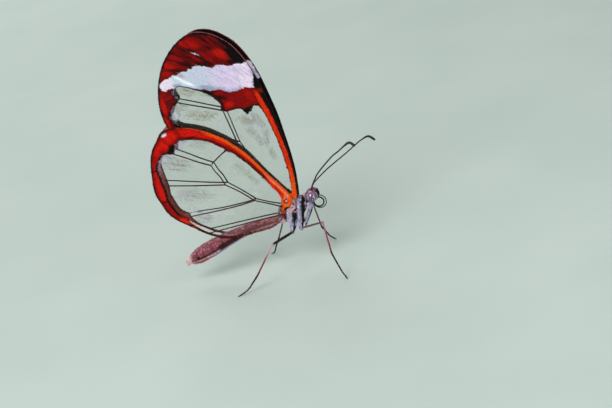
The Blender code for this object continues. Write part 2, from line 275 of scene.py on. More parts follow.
# %% [markdown]
# ## Lines on a flat wing
# A wing is nearly flat, so its margin, its clear windows and its veins are drawn first as lines
# on a plane, forward and up, and hung in the model afterwards. Each line is a smooth curve
# through a few points, as one would draw it with a spline. Distances to these lines later tell
# every scale which colour it has.


# %% Curves, distances and insides
def run_along(line):
    """How far along a line of points each of them lies."""
    return np.concatenate([[0], np.cumsum(np.linalg.norm(np.diff(line, axis=0), axis=1))])


def walk(points, step, closed=False):
    """Points about step apart along the smooth curve through the given ones."""
    knots = np.array(points, float)
    total = len(knots)
    spans = total if closed else total - 1
    dense = []
    for i in range(spans):
        if closed:
            a, b, c, d = (knots[(i + k) % total] for k in (-1, 0, 1, 2))
        else:
            a, b, c, d = knots[max(i - 1, 0)], knots[i], knots[i + 1], knots[min(i + 2, total - 1)]
        t = np.linspace(0, 1, 16, endpoint=False)[:, None]
        dense.append(b + 0.5 * ((c - a) * t + (2 * a - 5 * b + 4 * c - d) * t ** 2
                                + (3 * (b - c) + d - a) * t ** 3))
    dense.append(knots[:1] if closed else knots[-1:])
    dense = np.vstack(dense)
    run = run_along(dense)
    steps = max(3, round(run[-1] / step))
    goals = np.linspace(0, run[-1], steps + 1)
    if closed:
        goals = goals[:-1]
    return np.column_stack([np.interp(goals, run, dense[:, k]) for k in range(dense.shape[1])])


def distance_to(spots, line, closed=False):
    """How far each spot lies from a line of points."""
    start = np.asarray(line, float)
    end = np.roll(start, -1, axis=0)
    if not closed:
        start, end = start[:-1], end[:-1]
    nearest = np.full(len(spots), 1e9)
    for a, b in zip(start, end):
        along = b - a
        t = np.clip(((spots - a) @ along) / max(along @ along, 1e-12), 0, 1)
        nearest = np.minimum(nearest, np.linalg.norm(spots - a - t[:, None] * along, axis=1))
    return nearest


def inside(spots, outline):
    """Which spots lie inside a closed outline."""
    start = np.asarray(outline, float)
    end = np.roll(start, -1, axis=0)
    within = np.zeros(len(spots), bool)
    for a, b in zip(start, end):
        if a[1] == b[1]:
            continue
        crosses = (a[1] > spots[:, 1]) != (b[1] > spots[:, 1])
        where = a[0] + (spots[:, 1] - a[1]) * (b[0] - a[0]) / (b[1] - a[1])
        within ^= crosses & (spots[:, 0] < where)
    return within


# Rows of a triangular grid lie this share of a step apart.
ROW_SHARE = 0.866


def lattice(outline, step, stray, draw):
    """Spots step apart in staggered rows over the box of an outline, each strayed a little."""
    low, high = outline.min(0) - step, outline.max(0) + step
    rows = []
    for i, up in enumerate(np.arange(low[1], high[1], step * ROW_SHARE)):
        row = np.arange(low[0] + (i % 2) * step / 2, high[0], step)
        rows.append(np.column_stack([row, np.full(len(row), up)]))
    spots = np.vstack(rows)
    return spots + draw.uniform(-stray, stray, spots.shape) * step


# %% [markdown]
# ## The wings' drawing
# These are the real sizes: the forewing is 29 mm from hinge to tip. The margins follow the frame's
# margins, read once more and drawn a little deeper at the root, because here the wing grows out
# of the skin of the thorax. The windows are where the scales end and the bare membrane begins.

# %% Margins, windows and veins
FORE_HINGE = (0.1, 11.9)
HIND_HINGE = (-1.2, 10.3)
FORE_TURN = {RIGHT: 0.0, LEFT: 1.3}
FORE_LIFT = {RIGHT: 0.0, LEFT: -0.1}
HIND_TURN = {RIGHT: 0.0, LEFT: 1.25}
HIND_LIFT = {RIGHT: 0.0, LEFT: -0.4}

FORE_FRONT = [
    (0.6, 10.7), (0.85, 12.1), (1.0, 13.7), (1.1, 15.5), (1.07, 17.3), (0.97, 19.0), (0.8, 21.0),
    (0.57, 23.4), (0.33, 25.4), (-0.1, 27.6), (-0.62, 30.1), (-1.1, 32.0), (-1.75, 33.9), (-2.5, 35.5),
    (-3.4, 36.95), (-4.6, 38.15), (-5.9, 39.1), (-7.3, 39.68), (-8.7, 39.8), (-10.0, 39.42),
]
FORE_REAR = [
    (-11.4, 38.62), (-12.6, 37.58), (-13.85, 36.15), (-14.75, 34.6), (-15.5, 32.8), (-15.95, 31.2),
    (-16.18, 29.6), (-16.2, 28.2), (-16.0, 26.8), (-15.5, 25.6), (-14.3, 24.9), (-10.8, 23.2),
    (-7.3, 20.4), (-3.8, 15.8), (-1.3, 11.9), (-0.5, 10.8), (0.1, 10.5),
]
HIND_FRONT = [
    (-0.45, 10.6), (-0.2, 11.5), (-0.4, 12.3), (-1.45, 13.95), (-3.15, 16.5), (-4.25, 18.35),
    (-5.35, 20.1), (-6.55, 21.5), (-7.75, 22.75), (-9.65, 24.2), (-11.0, 24.97), (-12.7, 25.68),
    (-14.6, 26.12),
]
HIND_REAR = [
    (-16.2, 26.1), (-17.1, 25.7), (-18.1, 24.4), (-18.75, 23.65), (-19.35, 22.5), (-19.8, 21.0),
    (-20.1, 19.2), (-20.35, 17.3), (-20.3, 16.0), (-19.9, 14.8), (-19.4, 13.2), (-18.6, 11.95),
    (-17.4, 10.85), (-16.1, 9.8), (-14.7, 8.7), (-13.5, 7.95), (-12.2, 7.4), (-10.2, 6.93), (-8.5, 6.98),
    (-6.0, 7.2), (-4.2, 7.45), (-2.7, 8.25), (-1.5, 9.5), (-0.9, 10.2),
]

FORE_WINDOW = [
    (-13.65, 31.3), (-13.45, 31.75), (-12.95, 32.05), (-12.1, 32.15), (-11.1, 31.7), (-10.0, 31.1),
    (-8.9, 30.45), (-8.0, 29.75), (-7.25, 28.9), (-6.95, 28.2), (-7.0, 27.3), (-6.6, 26.95),
    (-5.75, 26.95), (-4.9, 27.02), (-4.4, 26.95), (-3.9, 26.55), (-3.43, 25.87), (-3.05, 26.5),
    (-2.8, 26.85), (-2.4, 27.02), (-1.6, 26.86), (-1.2, 26.45), (-0.98, 25.4), (-0.7, 24.2),
    (-0.45, 22.8), (-0.19, 21.36), (0.05, 19.5), (0.17, 17.6), (0.28, 15.8), (0.26, 14.2), (0.15, 12.9),
    (0.04, 12.2), (-0.4, 12.15), (-1.75, 13.95), (-2.85, 15.65), (-4.0, 17.3), (-5.1, 19.1), (-6.3, 20.7),
    (-7.5, 21.75), (-8.75, 22.75), (-10.0, 23.75), (-11.45, 24.62), (-12.9, 25.4), (-14.1, 26.1),
    (-14.65, 26.7), (-14.86, 27.32), (-14.8, 27.83), (-14.5, 28.6), (-13.8, 29.4), (-13.4, 29.9),
    (-13.35, 30.3), (-13.55, 30.8),
]
HIND_WINDOW = [
    (-15.27, 23.5), (-14.8, 23.88), (-14.3, 24.03), (-12.85, 23.83), (-11.5, 23.5), (-10.05, 22.85),
    (-9.3, 22.25), (-8.6, 21.7), (-8.1, 21.22), (-7.9, 20.88), (-7.5, 20.68), (-6.9, 20.15),
    (-5.92, 18.97), (-5.05, 17.85), (-4.0, 16.15), (-2.91, 14.33), (-2.37, 13.32), (-1.92, 12.58),
    (-1.69, 11.8), (-1.77, 10.95), (-1.9, 9.6), (-2.37, 8.75), (-3.5, 7.98), (-4.86, 7.65), (-6.65, 7.45),
    (-8.5, 7.28), (-10.2, 7.22), (-11.4, 7.45), (-12.75, 7.95), (-14.1, 8.72), (-15.2, 9.55),
    (-16.1, 10.5), (-16.4, 11.1), (-16.5, 11.6), (-17.5, 12.3), (-18.0, 13.2), (-18.3, 14.15),
    (-18.6, 15.1), (-18.55, 16.5), (-18.75, 18.4), (-18.87, 20.1), (-18.6, 20.9), (-18.1, 21.65),
    (-17.5, 22.25), (-16.9, 22.3), (-16.3, 22.15), (-15.75, 22.15), (-15.65, 22.7),
]
WHITE_BAND = [
    (-15.15, 33.1), (-15.25, 32.5), (-15.15, 32.1), (-14.85, 31.88), (-14.4, 31.9), (-14.1, 32.08),
    (-13.1, 32.1), (-12.4, 32.2), (-11.7, 32.05), (-10.5, 31.45), (-9.85, 31.2), (-8.75, 30.95),
    (-8.15, 30.65), (-7.1, 30.6), (-6.5, 30.5), (-5.45, 29.88), (-4.2, 29.87), (-3.3, 30.04),
    (-2.8, 30.07), (-1.62, 29.8), (-1.55, 30.7), (-1.3, 31.3), (-1.26, 32.0), (-1.36, 32.7),
    (-1.65, 33.5), (-1.85, 33.9), (-2.2, 33.85), (-2.58, 33.68), (-2.87, 33.87), (-3.4, 33.9),
    (-4.4, 33.8), (-5.3, 34.12), (-5.85, 34.28), (-6.35, 34.24), (-6.7, 34.1), (-6.83, 33.84),
    (-7.1, 34.02), (-8.2, 34.5), (-9.3, 34.8), (-9.75, 34.7), (-9.85, 34.4), (-10.15, 34.55),
    (-10.5, 34.46), (-10.75, 34.22), (-11.5, 34.27), (-12.6, 33.95), (-13.04, 34.08), (-13.35, 33.76),
    (-13.8, 33.69), (-14.3, 33.64), (-14.75, 33.4),
]

FORE_VEINS = [
    [(-0.6, 11.3), (-3.9, 16.4), (-6.1, 21.5)],
    [(-6.1, 21.5), (-6.55, 24.4), (-6.99, 27.15)],
    [(-6.99, 27.2), (-8.86, 27.95), (-11.45, 29.0), (-14.2, 30.1)],
    [(-6.1, 21.5), (-9.2, 23.2), (-12.5, 25.0)],
    [(-7.0, 27.3), (-6.97, 28.2), (-7.25, 28.95), (-8.0, 29.8), (-8.95, 30.5),
     (-10.05, 31.15), (-11.2, 31.75), (-12.1, 32.1)],
]
HIND_VEINS = [
    [(-1.9, 10.55), (-4.3, 11.55), (-5.83, 12.24)],
    [(-5.83, 12.24), (-7.65, 14.05), (-9.53, 15.62)],
    [(-9.53, 15.62), (-9.95, 16.95), (-10.53, 18.1), (-10.87, 19.17)],
    [(-10.87, 19.17), (-12.43, 19.99), (-14.4, 21.23), (-16.4, 22.4)],
    [(-10.7, 19.35), (-9.9, 19.94), (-9.0, 20.55), (-7.9, 21.1)],
    [(-9.53, 15.62), (-13.4, 16.33), (-18.9, 17.5)],
    [(-5.83, 12.24), (-8.0, 11.93), (-11.4, 11.71), (-14.55, 11.68), (-16.7, 11.62)],
    [(-1.95, 9.3), (-5.8, 9.08), (-9.65, 8.79), (-14.0, 8.45)],
]


def fore_across(flat):
    """How far out the forewing's middle sheet lies: a little more at its root."""
    return 0.42 + 0.26 * ease(flat[:, 1], 14.5, 11.5)


def hind_across(flat):
    """The hindwing's place across: out over the abdomen and towards its margin, in at its root."""
    reach = np.linalg.norm(flat - (-1.1, 10.4), axis=1)
    sheet = 0.68 + np.maximum(0.34 * ease(reach, 7.0, 20.0), 0.3 * ease(flat[:, 1], 11.0, 8.8))
    return sheet + (0.98 - sheet) * ease(reach, 3.2, 0.5)


FORE = {
    "name": "forewing", "hinge": FORE_HINGE, "turn": FORE_TURN, "lift": FORE_LIFT,
    "across": fore_across, "margin": walk(FORE_FRONT + FORE_REAR, 0.3, closed=True),
    "front": walk(FORE_FRONT, 0.3), "window": walk(FORE_WINDOW, 0.25, closed=True),
    "veins": [walk(line, 0.4) for line in FORE_VEINS],
}
HIND = {
    "name": "hindwing", "hinge": HIND_HINGE, "turn": HIND_TURN, "lift": HIND_LIFT,
    "across": hind_across, "margin": walk(HIND_FRONT + HIND_REAR, 0.3, closed=True),
    "front": walk(HIND_FRONT, 0.3), "window": walk(HIND_WINDOW, 0.25, closed=True),
    "veins": [walk(line, 0.4) for line in HIND_VEINS],
}
BAND = walk(WHITE_BAND, 0.25, closed=True)
print("the forewing's margin is", round(run_along(FORE["margin"])[-1], 1), "mm round")


# %% [markdown]
# ## Which way the scales lie
# Scales grow outward from the wing's root, like tiles from a ridge. In the outer half of the
# forewing the veins fan out from a point in front of it, so the scales turn with them. Folds
# between the veins give the membrane a gentle wave, which breaks up reflections.

# %% Lie of the scales, the wing's waves and its place in the model
FAN_POINT = (5.0, 22.5)
WAVE_HEIGHT = 0.035
WAVES = 34.0


def unit(arrows):
    """Arrows at length 1."""
    return arrows / np.maximum(np.linalg.norm(arrows, axis=1, keepdims=True), 1e-9)


def scale_ways(wing, flat):
    """The direction in which scales point at each spot of the flat wing."""
    from_root = unit(flat - np.array(wing["hinge"]) + (0.4, 1.0))
    if wing is FORE:
        fan = unit(flat - FAN_POINT)
        share = ease(flat[:, 1], 23.0, 31.0)[:, None]
        return unit(from_root * (1 - share) + fan * share)
    return from_root


def hang(wing, side, flat, out):
    """Places in the model of spots on the flat wing, out millimetres outside its middle sheet."""
    forward = flat[:, 0] - wing["hinge"][0]
    up = flat[:, 1] - wing["hinge"][1]
    reach = np.hypot(forward, up)
    wave = WAVE_HEIGHT * np.sin(WAVES * np.arctan2(up, -forward)) * ease(reach, 2.0, 10.0)
    turn = math.radians(wing["turn"][side])
    return np.column_stack([
        forward * math.cos(turn) + up * math.sin(turn) + wing["hinge"][0],
        side * (wing["across"](flat) + wave + out),
        up * math.cos(turn) - forward * math.sin(turn) + wing["hinge"][1] + wing["lift"][side],
    ])


# %% [markdown]
# ## The wings' colours
# On the outer faces the border is red, darkening to black at the edges and beside the windows, with a band
# of long white scales across the forewing's tip. Inside, the forewing is nearly black with the same white
# band, and the hindwing is dusky red. The same rules paint the ground and every scale on it, so that the
# markings agree. They use distances to the lines above and a few soft patches: most are real markings of
# the wing, and some are painted glints, highlights and shade.

# %% Rules of colour
BLACK = srgb(9, 2, 3)
SOOT = srgb(26, 10, 9)
MAROON = srgb(44, 1, 2)
DEEP_RED = srgb(96, 2, 2)
RED = srgb(138, 4, 2)
BRIGHT_RED = srgb(188, 13, 3)
ORANGE_RED = srgb(218, 40, 3)
ORANGE = srgb(240, 84, 12)
AMBER = srgb(250, 128, 32)
# Salmon serves only for painted highlights on the hindwing's front strip and root.
HIGHLIGHT_SALMON = srgb(250, 138, 104)
LAVENDER = srgb(224, 210, 236)
PALE_BLUE = srgb(196, 214, 226)
PINK_WHITE = srgb(242, 226, 242)
BLUE_SHADE = srgb(150, 156, 190)
LILAC = srgb(206, 196, 218)
BAND_STREAK = srgb(170, 168, 192)
FLAME_RED = srgb(206, 18, 3)
CRIMSON = srgb(156, 6, 2)
INNER_PINK = srgb(168, 96, 108)
INNER_RUST = srgb(118, 40, 34)
INNER_RED = srgb(150, 50, 38)
INNER_LINE = srgb(124, 92, 118)
INNER_HEM = srgb(112, 84, 104)
HEM_BROWN = srgb(64, 18, 16)
HEM_ROSE = srgb(118, 60, 62)
ROOT_ROSE = srgb(206, 150, 160)


def everywhere(value, spots):
    """The same colour or arrow for every spot."""
    return np.tile(value, (len(spots), 1))


def laid(under, over, share):
    """One colour laid over another, with a share from 0 to 1 for each spot."""
    return under + (np.asarray(over) - under) * np.asarray(share)[:, None]


def patch(flat, centre, long, wide, angle):
    """A soft oval patch: 1 in its middle, 0 outside, turned by an angle in degrees."""
    turn = math.radians(angle)
    away = flat - centre
    along = away @ (math.cos(turn), math.sin(turn))
    aside = away @ (-math.sin(turn), math.cos(turn))
    return ease(np.hypot(along / long, aside / wide), 1.0, 0.45)


def lay_patches(colour, flat, patches, most=1.0):
    """Lay soft patches one after the other: colour, share, centre, half length, half width, angle."""
    for tone, share, centre, long, wide, angle in patches:
        colour = laid(colour, tone, share * patch(flat, centre, long, wide, angle) * most)
    return colour


def grain(flat, ways, fine, coarse, seed):
    """Streaks along the lie of the scales, from -1 to 1."""
    along = np.einsum("ij,ij->i", flat, ways) / coarse
    aside = (flat[:, 0] * -ways[:, 1] + flat[:, 1] * ways[:, 0]) / fine
    return np.array([noise.noise((a, b, seed)) for a, b in zip(along, aside)]) * 1.8


# The first two patches, blue-grey, are painted shade along the band's lower edge.
BAND_PATCHES = [
    (srgb(150, 150, 172), 0.85, (-12.7, 32.35), 0.95, 0.35, -10),
    (srgb(150, 158, 178), 0.7, (-8.3, 31.2), 1.5, 0.45, -18),
    (srgb(168, 176, 170), 0.8, (-11.9, 33.8), 0.9, 0.35, -30),
    (srgb(244, 248, 254), 0.95, (-11.35, 32.65), 2.4, 0.33, -37),
]


def white_colour(flat, streak):
    """The white band: pinkish in front, lavender, then bluish, with a shaded lower edge."""
    forward = flat[:, 0]
    white = laid(everywhere(LAVENDER, flat), PALE_BLUE,
                 ease(forward, -6.0, -9.0) * ease(streak, 0.9, -0.4))
    white = laid(white, PINK_WHITE, ease(forward, -5.0, -2.6) * ease(streak, 0.6, -0.6))
    white = laid(white, PINK_WHITE, ease(forward, -12.6, -13.8))
    white = laid(white, BAND_STREAK, 0.5 * ease(streak, 0.2, 0.9))
    white = lay_patches(white, flat, BAND_PATCHES)
    low_edge = distance_to(flat, BAND[:len(BAND) * 4 // 10])
    shade = ease(low_edge, 0.75, 0.1) * ease(forward, -11.5, -8.5) * ease(forward, -2.2, -3.6)
    return laid(white, BLUE_SHADE, 0.6 * shade)


# Patches of the forewing's tip, of the red bar below the band, and of the border behind.
# In the tip, the first four bright red patches near the outer margin are painted glints of light.
TIP_PATCHES = [
    (BRIGHT_RED, 0.8, (-9.6, 38.3), 2.3, 0.8, -28), (BRIGHT_RED, 0.8, (-12.3, 36.8), 1.2, 0.45, -22),
    (BRIGHT_RED, 0.85, (-13.0, 35.7), 1.6, 0.8, -15), (BRIGHT_RED, 0.9, (-14.0, 34.4), 1.3, 0.6, -5),
    (BRIGHT_RED, 0.95, (-5.2, 35.9), 1.9, 0.85, -42), (ORANGE_RED, 0.7, (-3.7, 34.9), 0.9, 0.45, -48),
    (ORANGE_RED, 0.5, (-5.3, 36.1), 1.0, 0.35, -42), (RED, 0.9, (-7.0, 35.7), 1.4, 0.6, -25),
    (MAROON, 0.85, (-9.4, 35.2), 2.4, 0.55, -20), (MAROON, 0.85, (-4.8, 34.35), 1.4, 0.35, -5),
    (MAROON, 0.8, (-5.4, 37.9), 2.2, 0.6, -40), (BLACK, 0.9, (-6.35, 37.05), 0.8, 0.32, -30),
    (MAROON, 0.6, (-10.6, 36.6), 2.2, 0.3, -25), (MAROON, 0.6, (-12.6, 34.7), 1.8, 0.25, -12),
]
BAR_PATCHES = [
    (BRIGHT_RED, 0.9, (-5.85, 27.95), 1.0, 0.55, 5), (BRIGHT_RED, 0.5, (-2.6, 28.7), 1.3, 0.7, -60),
    (BLACK, 0.8, (-7.2, 29.4), 1.9, 0.5, -20), (BLACK, 0.8, (-3.3, 26.7), 0.6, 0.5, 0),
]
REAR_PATCHES = [
    (BRIGHT_RED, 0.95, (-15.6, 29.6), 0.55, 2.1, 4), (BRIGHT_RED, 0.95, (-15.75, 26.9), 0.45, 1.5, 12),
]
# How wide the black is behind the front edge: (up, width), first in the tip, then beside the strip.
TIP_BLACK = np.array([(33.4, 1.5), (34.5, 1.75), (35.4, 1.45), (36.3, 1.05), (37.3, 0.6), (38.5, 0.3)])
STRIP_BLACK = np.array([(19.0, 0.14), (21.0, 0.28), (24.0, 0.42), (26.0, 0.52), (28.0, 0.7), (30.0, 1.0)])


def fore_colour(flat, outer):
    """The forewing's colours on its outer or inner face."""
    ways = scale_ways(FORE, flat)
    rim = distance_to(flat, FORE["margin"], closed=True)
    front = distance_to(flat, FORE["front"])
    window = distance_to(flat, FORE["window"], closed=True)
    streak = grain(flat, ways, 0.32, 2.4, 3.0)
    blotch = grain(flat, ways, 0.9, 1.6, 11.0)
    forward, up = flat[:, 0], flat[:, 1]
    band = inside(flat, BAND)
    if not outer:
        colour = laid(everywhere(BLACK, flat), SOOT, ease(streak, -0.2, 0.8))
        colour = laid(colour, MAROON, 0.5 * ease(rim, 0.6, 1.4) * ease(forward, -3.0, -6.0))
        hem = ease(up, 25.5, 24.5) * ease(forward, -1.0, -2.2) * ease(forward, -8.5, -6.5)
        colour = laid(colour, INNER_HEM, 0.9 * hem * ease(window, 0.12, 0.2))
        band = (band | ((front < 1.3) & (up > 30.9) & (up < 33.8) & (forward > -3.0))) & (front > 0.16)
        return np.where(band[:, None], white_colour(flat, streak), colour)
    colour = laid(everywhere(DEEP_RED, flat), MAROON, ease(streak + 0.6 * blotch, 0.0, -0.8))
    colour = laid(colour, RED, ease(streak + 0.7 * blotch, 0.1, 0.8))
    colour = lay_patches(colour, flat, TIP_PATCHES, ease(streak, 1.2, -0.5))
    dark = np.interp(up, *TIP_BLACK.T) - 0.25 * streak
    colour = laid(colour, BLACK, ease(front - dark, 0.3, -0.15) * ease(up, 33.2, 34.0)
                  * ease(forward, -9.5, -7.0))
    bar = ease(up, 30.4, 29.6) * ease(forward, -8.4, -7.4) * ease(up, 26.2, 26.8)
    colour = laid(colour, RED, 0.7 * bar * ease(front, 0.9, 1.3))
    colour = lay_patches(colour, flat, BAR_PATCHES)
    colour = laid(colour, BLACK, 0.9 * ease(window + 0.12 * streak, 0.5, 0.12) * ease(up, 22.0, 24.0))
    colour = laid(colour, BLACK, ease(front + 0.1 * streak, 1.15, 0.95) * ease(up, 28.0, 29.2)
                  * ease(up, 34.6, 33.6))
    strip = ease(up, 29.8, 28.6) * ease(front, 1.45, 1.25) * ease(forward, -2.6, -1.6)
    width = np.interp(up, *STRIP_BLACK.T)
    colour = laid(colour, ORANGE_RED, strip)
    colour = laid(colour, ORANGE, strip * (ease(up, 17.0, 12.5) + 0.4 * ease(streak, 0.0, 0.8)).clip(0, 1))
    colour = laid(colour, DEEP_RED, 0.8 * strip * ease(window, 0.16, 0.08) * ease(up, 13.0, 15.0))
    colour = laid(colour, BLACK, strip * ease(front, width + 0.06, width - 0.06) * ease(up, 11.0, 11.8))
    hem = ease(forward, -14.95, -14.4) * ease(up, 27.2, 26.6) * ease(front, 1.2, 1.5)
    colour = laid(colour, BLACK, hem)
    colour = lay_patches(colour, flat, REAR_PATCHES)
    colour = laid(colour, BLACK, ease(rim + 0.05 * streak, 0.28, 0.16) * ease(forward, -4.5, -7.0)
                  * ease(up, 25.6, 26.6))
    colour = np.where(band[:, None], white_colour(flat, streak), colour)
    return laid(colour, PINK_WHITE, 0.9 * patch(flat, (-8.85, 36.6), 0.85, 0.1, -35))


# Patches of the hindwing: its upper corner and lower border, then its white spot and its root.
BORDER_PATCHES = [
    (BLACK, 1.0, (-16.05, 22.9), 1.25, 0.8, 62), (ORANGE_RED, 0.9, (-17.2, 11.15), 1.1, 0.4, -40),
    (ORANGE_RED, 0.9, (-15.65, 9.65), 0.9, 0.3, -38),
]
# The salmon patch at the root is a painted highlight.
SPOT_PATCHES = [
    (BLACK, 0.95, (-16.55, 25.4), 0.75, 0.46, 22), (PINK_WHITE, 1.0, (-16.55, 25.4), 0.6, 0.3, 22),
    (HIGHLIGHT_SALMON, 0.7, (-1.0, 11.9), 0.8, 0.4, 60), (AMBER, 0.8, (-1.15, 10.5), 0.7, 0.5, 80),
]


def hind_colour(flat, outer):
    """The hindwing's colours on its outer or inner face."""
    ways = scale_ways(HIND, flat)
    rim = distance_to(flat, HIND["margin"], closed=True)
    front = distance_to(flat, HIND["front"])
    window = distance_to(flat, HIND["window"], closed=True)
    streak = grain(flat, ways, 0.4, 2.4, 5.0)
    forward, up = flat[:, 0], flat[:, 1]
    if not outer:
        colour = laid(everywhere(INNER_PINK, flat), INNER_RUST, ease(streak, -0.3, 0.6))
        colour = laid(colour, INNER_RED, 0.85 * ease(up, 18.0, 15.0) * ease(forward, -14.0, -16.0))
        colour = laid(colour, BLACK, 0.9 * ease(window, 0.32, 0.2))
        in_front = ease(front, 2.0, 1.5) * ease(forward, -15.5, -14.0)
        colour = laid(colour, BLACK, in_front)
        colour = laid(colour, INNER_LINE, 0.8 * in_front * ease(np.abs(front - 0.3), 0.16, 0.06)
                      * ease(forward, -8.5, -6.5))
        return laid(colour, ORANGE_RED, 0.7 * ease(forward, -2.4, -1.4))
    colour = laid(everywhere(FLAME_RED, flat), CRIMSON, ease(streak, -0.2, 0.7))
    along_front = ease(forward, -16.2, -14.5)
    low_half = ease(window, 0.62, 0.4) * ease(forward, -2.6, -3.6) * ease(up, 12.5, 14.0) * along_front
    colour = laid(colour, DEEP_RED, 0.55 * ease(rim, 0.7, 0.3) * ease(forward, -14.0, -16.0))
    colour = laid(colour, ORANGE_RED, ease(forward, -9.5, -5.5) * ease(streak, 0.9, -0.4)
                  * ease(up, 9.0, 10.0))
    colour = laid(colour, ORANGE, ease(forward, -4.4, -2.4) * ease(up, 9.0, 10.0)
                  * np.maximum(ease(front, 0.75, 0.45), ease(up, 12.6, 11.8)) * ease(streak, 1.4, 0.0))
    colour = laid(colour, ORANGE, 0.9 * ease(front, 0.5, 0.3) * ease(forward, -11.5, -9.5))
    colour = laid(colour, DEEP_RED, 0.9 * low_half)
    colour = laid(colour, MAROON, 0.85 * ease(window, 0.2, 0.1) * along_front * ease(forward, -3.0, -4.2)
                  * ease(up, 12.5, 14.0))
    # Painted salmon highlight along the middle of the front strip near the root.
    colour = laid(colour, HIGHLIGHT_SALMON, 0.8 * ease(np.abs(front - 0.36), 0.18, 0.04) * ease(forward, -3.8, -2.4)
                  * ease(up, 11.4, 12.2))
    colour = laid(colour, MAROON, 0.8 * patch(flat, (-12.9, 24.15), 1.2, 0.3, 10))
    wide_shade = ease(window + 0.08 * streak, 0.46, 0.32)
    colour = laid(colour, BLACK, wide_shade * ease(forward, -15.2, -16.0) * ease(up, 11.5, 12.4))
    colour = laid(colour, BLACK, ease(window + 0.05 * streak, 0.2, 0.1) * ease(up, 12.6, 11.6)
                  * ease(forward, -13.5, -14.5))
    colour = lay_patches(colour, flat, BORDER_PATCHES)
    colour = laid(colour, BLACK, ease(rim + 0.05 * streak, 0.24, 0.12) * ease(forward, -11.5, -14.0))
    for cross_up, slope in ((20.0, -0.1), (14.75, 0.2)):
        across = np.abs(up - cross_up - slope * (forward + 19.6))
        colour = laid(colour, BLACK, ease(across, 0.15, 0.07) * ease(forward, -18.4, -18.9))
    thin = ease(forward, -15.0, -14.2) * ease(up, 9.8, 9.0) * ease(forward, -1.8, -2.4)
    colour = laid(colour, HEM_BROWN, 0.95 * thin)
    colour = laid(colour, HEM_ROSE, thin * ease(forward, -8.5, -5.5))
    colour = lay_patches(colour, flat, SPOT_PATCHES)
    away = np.hypot((forward + 1.12) / 0.2, (up - 11.33) / 0.26)
    colour = laid(colour, DEEP_RED, ease(np.abs(away - 1.25), 0.5, 0.2))
    colour = laid(colour, ROOT_ROSE, ease(away, 1.05, 0.8))
    return laid(colour, MAROON, ease(up, 9.5, 9.1) * ease(forward, -2.8, -2.2))


FORE["colour"], HIND["colour"] = fore_colour, hind_colour
print("the band is", round(float(np.ptp(BAND[:, 0])), 1), "mm long")

# %% [markdown]
# ## Finishes with their own markings
# Wing scales, skin and hair carry their colour as an attribute on their points, so one finish
# serves them all. Noise varies it a little, as no two scales reflect alike. Insect scales have a
# satin look: fairly rough, with a soft sheen at the edge.


# %% Finish of scales, hair and skin
def tinted(name, roughness, gloss, sheen=0.0, vary=0.18, grain_size=0.12, bump_height=0.0):
    """A finish that takes its colour from the piece's tint, a little uneven."""
    material, tree, shader = material_with(name)
    tint = tree.nodes.new("ShaderNodeVertexColor")
    tint.layer_name = "tint"
    cloud = add_noise(tree, grain_size)
    level = tree.nodes.new("ShaderNodeMapRange")
    level.inputs["From Min"].default_value = 0.3
    level.inputs["From Max"].default_value = 0.7
    level.inputs["To Min"].default_value = 1 - vary
    level.inputs["To Max"].default_value = 1 + vary
    tree.links.new(cloud.outputs["Fac"], level.inputs["Value"])
    change = tree.nodes.new("ShaderNodeHueSaturation")
    tree.links.new(tint.outputs["Color"], change.inputs["Color"])
    tree.links.new(level.outputs["Result"], change.inputs["Value"])
    tree.links.new(change.outputs["Color"], shader.inputs["Base Color"])
    shader.inputs["Roughness"].default_value = roughness
    shader.inputs["Specular IOR Level"].default_value = gloss
    shader.inputs["Sheen Weight"].default_value = sheen
    if bump_height:
        add_bump(tree, shader, cloud.outputs["Fac"], bump_height)
    return material


wing_scale_finish = tinted("wing_scales", 0.5, 0.1)
wing_ground_finish = tinted("wing_ground", 0.6, 0.08)


def give_tint(piece, colours):
    """Store one colour for each point of a piece."""
    layer = piece.data.color_attributes.new("tint", "FLOAT_COLOR", "POINT")
    full = np.column_stack([np.clip(colours, 0, 1), np.ones(len(colours))])
    layer.data.foreach_set("color", full.astype(np.float32).ravel())


def piece_from(name, points, faces):
    """A new mesh object from arrays of points and faces."""
    mesh = bpy.data.meshes.new(name)
    mesh.from_pydata(points.tolist(), [], faces.tolist())
    piece = bpy.data.objects.new(name, mesh)
    bpy.context.scene.collection.objects.link(piece)
    return piece


# %% [markdown]
# ## The wing's ground and membrane
# The coloured border is a thin plate with the windows cut out, and the clear membrane is a still
# thinner one through the whole wing. A grid would give ragged edges, so the region is filled
# with triangles that follow the drawn lines exactly. Each is a flat sheet first, and a Solidify
# modifier gives it its thickness and closes its edge.


# %% Flat regions turned into thin closed plates
def fill_region(outline, holes, step):
    """Triangles that fill an outline around its holes, with points about step apart."""
    loops = [outline, *holes]
    rim = np.vstack(loops)
    edges = []
    first = 0
    for line in loops:
        total = len(line)
        edges += [(first + k, first + (k + 1) % total) for k in range(total)]
        first += total
    spots = lattice(outline, step, 0.12, random)
    keep = inside(spots, outline)
    for line in loops:
        keep &= distance_to(spots, line, closed=True) > step * 0.55
    for hole in holes:
        keep &= ~inside(spots, hole)
    flat = np.vstack([rim, spots[keep]])
    found = delaunay_2d_cdt([Vector(spot) for spot in flat], edges, [], 0, 1e-6, True)
    points = np.array([tuple(point) for point in found[0]])
    faces = np.array(found[2])
    middles = points[faces].mean(axis=1)
    real = inside(middles, outline)
    for hole in holes:
        real &= ~inside(middles, hole)
    return points, faces[real]


def make_plate(name, wing, side, flat, faces, thickness):
    """A thin closed plate on the wing's middle sheet."""
    piece = piece_from(name, hang(wing, side, flat, 0.0), faces)
    only(piece)
    bpy.ops.object.mode_set(mode="EDIT")
    bpy.ops.mesh.select_all(action="SELECT")
    bpy.ops.mesh.delete_loose()
    face_outward(piece)
    solid = piece.modifiers.new("thickness", "SOLIDIFY")
    solid.thickness = thickness
    solid.offset = 0.0
    bpy.ops.object.modifier_apply(modifier=solid.name)
    face_outward(piece)
    bpy.ops.object.shade_smooth_by_angle(angle=math.radians(40))
    return piece


